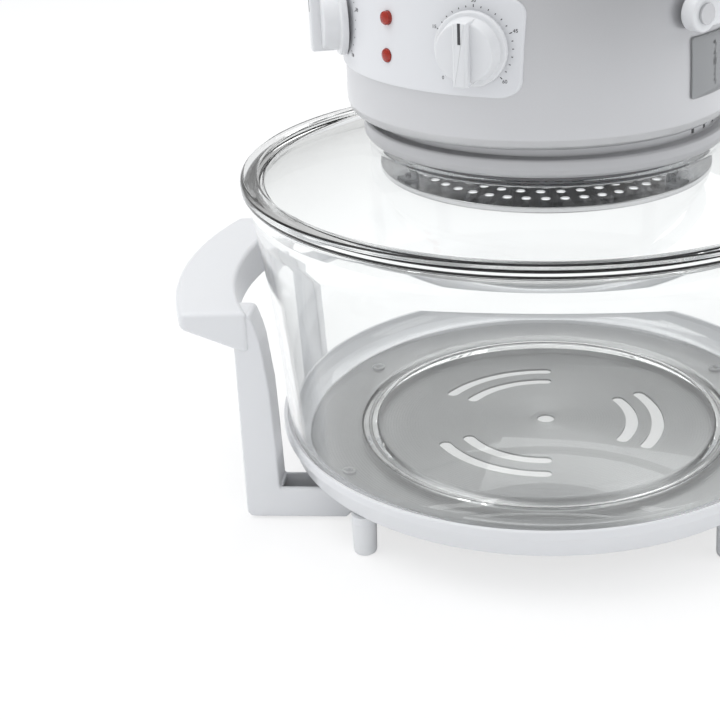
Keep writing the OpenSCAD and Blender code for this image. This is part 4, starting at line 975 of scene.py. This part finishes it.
def filled_plate(outline, centre, low, high, edge, rings=14):
    """A plate whose two faces are rings that shrink to a centre point."""
    side = plate(outline, low, high, edge, 4)[0].reshape(-1, len(outline), 3)
    shares = np.linspace(1, 0, rings + 1)[1:, None, None]
    anchor = np.array([centre[0], centre[1], 0.0])
    top = side[-1:] * shares + (anchor + [0, 0, high]) * (1 - shares)
    bottom = side[:1] * shares + (anchor + [0, 0, low]) * (1 - shares)
    points = np.concatenate([bottom[::-1], side, top])
    return points.reshape(-1, 3), grid_faces(len(points), len(outline), False, True), []


PANEL_HALF, PANEL_T = SHELL_R * math.sin(math.radians(41)), 1.5
panel_outline = densified(oblong((-PANEL_HALF, PANEL_HALF), (242, 288), 8, 10), 2.5)
panel = on_barrel(filled_plate(panel_outline, (0, KNOB_Z), 0, PANEL_T, 0.5))
piece("panel_face", in_shell(panel), panel_plastic, "lid", ["control_panel"],
      cut(spindle_holes, lens_holes, place=in_shell))

# %% Knobs
KNOB_R, KNOB_H = 17.5, 17.0
KNOB_BACK = belly(KNOB_Z - SHELL_Z - KNOB_R) + PANEL_T + 0.3
knob_outline = rounded([
    (0, 0, 0), (KNOB_R, 0, 0.4), (KNOB_R, 3.5, 0.9), (KNOB_R - 2.4, 3.7, 0.6),
    (KNOB_R - 3.6, KNOB_H - 5, 1.2), (0, KNOB_H - 5, 0)], closed=False)
knob_body = revolve(knob_outline, 120, closed=False)
bar_reach = KNOB_R - 2.5
bar_corners = np.concatenate([arc(0, 0, bar_reach, -13, 13, 9), arc(0, 0, bar_reach, 167, 193, 9)])
grip_bar = plate(bar_corners, 1, KNOB_H, 1.1, 5)
knob_bore = disc(3.0, -1, KNOB_H - 5)


def on_knob(shape, angle):
    """Places a shape whose Z is the knob's axis."""
    return in_shell(turned(moved(along_x(shape), KNOB_BACK, 0, KNOB_Z), angle))


for name, angle, body in (("thermostat_knob", -118, "thermostat_dial"),
                          ("timer_knob", -62, "timer_dial")):
    piece(name + "_moulding", on_knob(knob_body, angle), white_plastic, body,
          [name], add(on_knob(grip_bar, angle)) + cut(on_knob(knob_bore, angle)))
    pointer = box((-bar_reach + 0.4, -5.0), (-0.7, 0.7), (KNOB_H - 0.15, KNOB_H + 0.05), 0.05)
    piece(name + "_pointer", on_knob(pointer, angle), mark_ink, body)

# %% Scales round the knobs
def letters(text, height, thickness):
    """A word in Blender's own plain font, centred, as an object with thickness along Z."""
    curve = bpy.data.curves.new("letters", "FONT")
    curve.body, curve.size, curve.extrude = text, height * 1.4, thickness / 2
    curve.align_x, curve.align_y, curve.resolution_u = "CENTER", "CENTER", 4
    holder = bpy.data.objects.new("letters", curve)
    scene.collection.objects.link(holder)
    graph = bpy.context.evaluated_depsgraph_get()
    mesh = bpy.data.meshes.new_from_object(holder.evaluated_get(graph))
    points = np.empty(len(mesh.vertices) * 3)
    mesh.vertices.foreach_get("co", points)
    faces = [np.array(face.vertices) for face in mesh.polygons]
    bpy.data.objects.remove(holder)
    bpy.data.meshes.remove(mesh)
    return points.reshape(-1, 3), np.empty((0, 4), int), faces


def scale_ring(angle, words, first, last, ticks):
    """Ticks from one angle to another, clockwise round a knob, with a word at every nth."""
    parts, every = [], (ticks - 1) // (len(words) - 1)
    for i, turn in enumerate(np.linspace(first, last, ticks)):
        long_tick = i % every == 0
        a = math.radians(turn)
        tick = box((18.4, 19.7 if long_tick else 19.2), (-0.2, 0.2), (PANEL_T - 0.1, PANEL_T + 0.05))
        parts.append(moved(turned(tick, turn), 0, KNOB_Z))
        if long_tick:
            word = letters(words[i // every], 1.7, 0.12)
            parts.append(moved(word, 21.4 * math.cos(a), KNOB_Z + 21.4 * math.sin(a), PANEL_T))
    return turned(on_barrel(join(*parts)), angle + 90)


heat_words, time_words = ("0", "100", "150", "200", "250"), ("0", "15", "30", "45", "60")
scales = join(scale_ring(-118, heat_words, 225, -45, 21), scale_ring(-62, time_words, 225, -45, 25))
piece("panel_scales", in_shell(scales), mark_ink, "lid")

# %% Signal lenses
lens_outline = rounded([
    (0, 94, 0), (3.3, 94, 0.3), (3.3, 102.4, 0), (3.2, 103.0, 0.5), (1.6, 103.7, 2.0),
    (0, 103.9, 0)], closed=False)
lens = along_y(revolve(lens_outline, 48, closed=False))
lenses = join(*[moved(lens, 0, 0, z) for z in LENS_HEIGHTS])
piece("lens_pair", in_shell(lenses), signal_red, "lid", ["signal_lenses"])

# %% [markdown]
# ## Lamp, reflector and guard
# Under the lid a ring-shaped quartz tube holds a coiled filament. It hangs below a dished
# reflector with a hammered face, behind a perforated guard. The filament is a helix wound round
# the tube's own circle: a small circle's angle runs hundreds of times while the large one runs
# once.

# %% Reflector
reflector_outline = rounded([
    (9, 204, 0.3), (61, 204, 4.0), (65, 192.7, 1.5), (77, 192.7, 0.4), (77, 193.7, 0.4),
    (65.7, 193.7, 0.8), (61.6, 205, 3.2), (9, 205, 0.3)])
clamp_holes = in_head(at_places(disc(1.5, 191, 195), clamp_places))
probe_a = math.radians(197)
probe_hole = moved(disc(2.5, 203, 206), 57 * math.cos(probe_a), 57 * math.sin(probe_a))
piece("reflector_dish", revolve(reflector_outline, 192), foil_steel, "lid",
      ["reflector"], cut(clamp_holes, probe_hole))

# %% Lamp tube
LAMP_R, TUBE_R, LAMP_Z, LAMP_GAP = 52.0, 4.5, 190.3, 16.0


def ring_tube(radii, start, end, steps, sides=28):
    """A tube along an arc of the lamp's circle. Its rows go along the outer face and back along
    the inner one, so both ends are closed."""
    angle = np.radians(np.linspace(start, end, steps))
    angle = np.concatenate([angle, angle[::-1]])[:, None]
    thick = np.repeat(radii, steps)[:, None]
    round_it = np.linspace(0, 2 * np.pi, sides, endpoint=False)[None]
    radius = LAMP_R + thick * np.cos(round_it)
    points = polar(radius, angle, LAMP_Z + thick * np.sin(round_it))
    return points.reshape(-1, 3), grid_faces(2 * steps, sides, True, True), []


glass_tube = ring_tube((TUBE_R, TUBE_R - 1), 90 + LAMP_GAP, 450 - LAMP_GAP, 160)
let_light_through(piece(
    "quartz_tube", in_head(glass_tube), quartz_glass, "lid", ["lamp_tube"],
    sharp=60))


# %% Lamp filament
def lamp_wire(large, small, reach, wire_r, sides):
    """A wire that goes round the lamp's circle by one angle and round the tube's by another."""
    path = polar(LAMP_R + reach * np.cos(small), large, LAMP_Z + reach * np.sin(small))
    return tube(path, polar(np.cos(small), large, np.sin(small)), wire_r, sides)


COIL_TURNS, COIL_STEPS = 300, 10
run = np.linspace(0, 1, COIL_TURNS * COIL_STEPS)
large = np.radians(90 + LAMP_GAP + (360 - 2 * LAMP_GAP) * run)
coil = lamp_wire(large, 2 * np.pi * COIL_TURNS * run, 0.75, 0.15, 5)
hoop_angle = np.linspace(0, 2 * np.pi, 40)
hoops = [lamp_wire(math.radians(a), hoop_angle, 3.2, 0.18, 6) for a in np.arange(130, 411, 35)]
piece("coiled_filament", in_head(join(coil, *hoops)), tungsten, "lid",
      ["lamp_filament"], sharp=80)

# %% Lamp end caps
caps = [turned(box((46, 58), y, (184.3, 204), 1.2), 90 + side * LAMP_GAP)
        for side, y in ((-1, (0, 11)), (1, (-11, 0)))]
piece("ceramic_caps", in_head(join(*caps)), ceramic, "lid", ["lamp_end_caps"])

# %% Guard
GUARD_R, GUARD_Z, GUARD_TOP = 89.0, 178.7, 179.5
guard_outline = rounded([
    (0, GUARD_Z, 0), (GUARD_R, GUARD_Z, 1.0), (GUARD_R, 181.9, 0.6), (GUARD_R - 1.2, 181.9, 0.6),
    (GUARD_R - 1.2, GUARD_TOP, 0.5), (0, GUARD_TOP, 0)], closed=False)
hole = disc(2.5, GUARD_Z - 1, GUARD_TOP + 1, 20)
guard_holes = join(*[at_angles(moved(hole, r), np.arange(count) * 360 / count)
                     for r, count in ((57, 35), (68, 44), (46, 28), (35, 21), (24, 14))])
bracket_holes = at_angles(moved(disc(1.5, GUARD_Z - 1, GUARD_TOP + 1, 20), 80), (207, 327, 87))
piece("perforated_guard", revolve(guard_outline, 192, closed=False), bright_steel, "lid",
      ["guard"], cut(guard_holes, bracket_holes))

# %% [markdown]
# ## Carry handle, grille and gland
# The carry handle is a half ellipse that lies round the back of the housing on two hubs. Its
# section is a rounded rectangle between an inner and an outer ellipse. The grille and the rubber
# gland for the lead finish the back.

# %% Carry handle
HUB_IN, HUB_T, BAIL_LEN, BAIL_W, BAIL_T, BAIL_RINGS = 102.1, 8.0, 130.0, 16.0, 14.0, 90
section = oblong((-1, 1), (-1, 1), 0.55, 7)
sweep = np.radians(np.linspace(0, 180, BAIL_RINGS))[:, None]
outer_x, outer_y = (HUB_IN + HUB_T) * np.cos(sweep), BAIL_LEN * np.sin(sweep)
inner_x, inner_y = HUB_IN * np.cos(sweep), (BAIL_LEN - BAIL_W) * np.sin(sweep)
across = (section[:, 0] + 1) / 2
bail_points = np.stack([
    inner_x + (outer_x - inner_x) * across, inner_y + (outer_y - inner_y) * across,
    HINGE_Z + section[:, 1] * BAIL_T / 2 + 0 * sweep], -1)
bail = (bail_points.reshape(-1, 3), grid_faces(BAIL_RINGS, len(section), False, True),
        end_caps(len(section), BAIL_RINGS))
hub_outline = rounded([(3, 0, 0.3), (9, 0, 1.2), (9, HUB_T, 1.2), (3, HUB_T, 0.3)])
hub = moved(along_x(revolve(hub_outline, 64)), HUB_IN, 0, HINGE_Z)
hub_bore = moved(along_x(disc(3.0, HUB_IN - 1, HUB_IN + HUB_T + 1)), 0, 0, HINGE_Z)
piece("bail_moulding", in_shell(bail), white_plastic, "carry_handle",
      ["carry_handle"],
      add(at_angles(hub, (0, 180)), place=in_shell)
      + cut(at_angles(hub_bore, (0, 180)), place=in_shell))


# %% Rear grille
def on_back(shape):
    """Bends a shape whose X is the distance round the back, Y the height and Z the distance in
    front of the housing's surface."""
    return bent(shape, lambda x, up, out: (
        (belly(up - SHELL_Z) + out) * np.sin(x / SHELL_R),
        (belly(up - SHELL_Z) + out) * np.cos(x / SHELL_R), up))


GRILLE_T, GRILLE_SLOTS, SLOTS_HALF_ANGLE = 1.2, 26, 81
grille_half = SHELL_R * math.radians(89)
strip_outline = densified(oblong((-grille_half, grille_half), (233, 263), 1.5), 3)
strip = on_back(filled_plate(strip_outline, (0, 248), 0, GRILLE_T, 0.4, 8))
grille_cut = box((SHELL_R - 14, SHELL_R + 16), (-1.8, 1.8), (237, 259), 1.7)
slot_pitch = 2 * SLOTS_HALF_ANGLE / GRILLE_SLOTS
slot_angles = 90 - SLOTS_HALF_ANGLE + slot_pitch * (np.arange(GRILLE_SLOTS) + 0.5)
grille_slots = at_angles(grille_cut, slot_angles)
piece("grille_strip", in_shell(strip), grille_plastic, "lid", ["rear_grille"],
      cut(grille_slots, place=in_shell))

# %% Cord gland
gland_outline = rounded([
    (3.8, 92.5, 0.3), (5.5, 92.5, 0.4), (5.5, 101.5, 0.2), (7.5, 101.5, 0.3), (7.5, 103.5, 0.7),
    (5.6, 103.9, 0.3), (5.6, 104.6, 0.3), (5.0, 104.8, 0.2), (5.0, 105.3, 0.2), (5.5, 105.5, 0.3),
    (5.4, 106.2, 0.3), (4.9, 106.4, 0.2), (4.9, 106.8, 0.2), (5.2, 107.0, 0.2), (5.1, 107.5, 0.3),
    (3.8, 107.5, 0.3)])
gland = moved(along_y(revolve(gland_outline, 48)), 0, 0, GLAND_Z)
gland = (gland[0] * [1, -1, 1], gland[1], gland[2])
piece("gland_sleeve", in_shell(gland), dark_plastic, "lid", ["cord_gland"])

# %% [markdown]
# ## Wound pieces inside the housing
# The motor's coil is enamelled wire wound on a bobbin round one leg of the iron. Only its outer
# layer is made turn by turn, as one wire along a rounded rectangle that creeps sideways by its own
# thickness each time round. The safety switch has a small return spring, a wire along a helix.

# %% Motor coil
COIL_HALF, CHEEK, WIRE_R = 10.0, 1.2, 0.4
WIRE_TURNS = int((COIL_HALF - CHEEK) / WIRE_R) - 1


def across_coil(outline, low, high, edge=0.0):
    """A plate whose outline is given in X and Z and whose thickness lies along Y."""
    return along_y(plate(outline, low, high, edge))


cheek_outline = oblong((23.6, 51.9), (224.1, 253.9), 2)
core_block = across_coil(oblong((31.9, 44.1), (228.9, 249.1), 0.8), -COIL_HALF + 0.4, COIL_HALF - 0.4)
iron_hole = across_coil(oblong((33, 43), (230, 248)), -12, 12)
cheek = across_coil(cheek_outline, COIL_HALF - CHEEK, COIL_HALF, 0.3)
other_cheek = across_coil(cheek_outline, -COIL_HALF, CHEEK - COIL_HALF, 0.3)
piece("coil_bobbin", in_head(cheek), ivory_plastic, "lid", ["motor_coil"],
      add(core_block, other_cheek, place=in_head) + cut(iron_hole, place=in_head))
loop = oblong((25.4, 50.1), (225.9, 252.1), 3, 9)
wire_bed = across_coil(loop, CHEEK - COIL_HALF, COIL_HALF - CHEEK)
piece("coil_layers", in_head(wire_bed), copper_wire, "lid",
      steps=cut(core_block, place=in_head))
loop = np.concatenate([loop, loop[:1]])
length = np.concatenate([[0], np.cumsum(np.linalg.norm(np.diff(loop, axis=0), axis=1))])
share = np.linspace(0, WIRE_TURNS, WIRE_TURNS * 64)
wire_x = np.interp(share % 1 * length[-1], length, loop[:, 0])
wire_z = np.interp(share % 1 * length[-1], length, loop[:, 1])
wire_y = (2 * share / WIRE_TURNS - 1) * (COIL_HALF - CHEEK - WIRE_R)
wire_path = np.stack([wire_x, wire_y, wire_z], 1)
wire_out = np.stack([wire_x - loop[:, 0].mean(), 0 * share, wire_z - loop[:, 1].mean()], 1)
piece("coil_wire", in_head(tube(wire_path, wire_out, WIRE_R, 8)), copper_wire, "lid",
      sharp=80)

# %% Plunger spring
SPRING_LOW, SPRING_HIGH = 252.4, 261.1
ring_count = 6.5
run = np.linspace(0, ring_count, 220)
angle = 2 * np.pi * run
spring_z = np.interp(run, [0, 0.8, ring_count - 0.8, ring_count],
                     [SPRING_LOW, SPRING_LOW + 0.65, SPRING_HIGH - 0.65, SPRING_HIGH])
spring_path = np.stack([84 + 3.05 * np.cos(angle), 3.05 * np.sin(angle), spring_z], 1)
spring_out = np.stack([np.cos(angle), np.sin(angle), 0 * angle], 1)
spring = piece("return_spring", in_shell(tube(spring_path, spring_out, 0.28, 10)), screw_steel,
               None, ["plunger_spring"], sharp=80)
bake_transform(spring)

# %% [markdown]
# ## Solids that keep their shape
# Screws, nuts, brackets and the parts inside the housing are simple, and their solids are right as
# they are. They only need their finishes.

# %% Finishes for the solids
dress(sheet_steel, "clamp_ring", "heat_shield", "guard_brackets", "lamp_clips", "motor_bridges",
      "hot_air_fan", "motor_spacers", "thermal_cutout")
dress(screw_steel, "stand_screws", "clamp_screws", "guard_screws", "cover_screws",
      "housing_screws", "control_screws", "motor_bolts", "motor_nuts", "fan_nut", "hinge_pins",
      "motor_shaft", "timer_spindle", "thermostat_spindle")
dress(iron_stack, "motor_stack", "motor_rotor")
dress(bronze, "motor_bearings", "thermostat_probe")
dress(ivory_plastic, "cooling_fan", "timer", "thermostat", "terminal_block", "signal_lamps")
dress(dark_plastic, "switch_cam", "safety_switch")
dress(signal_red, "switch_plunger")
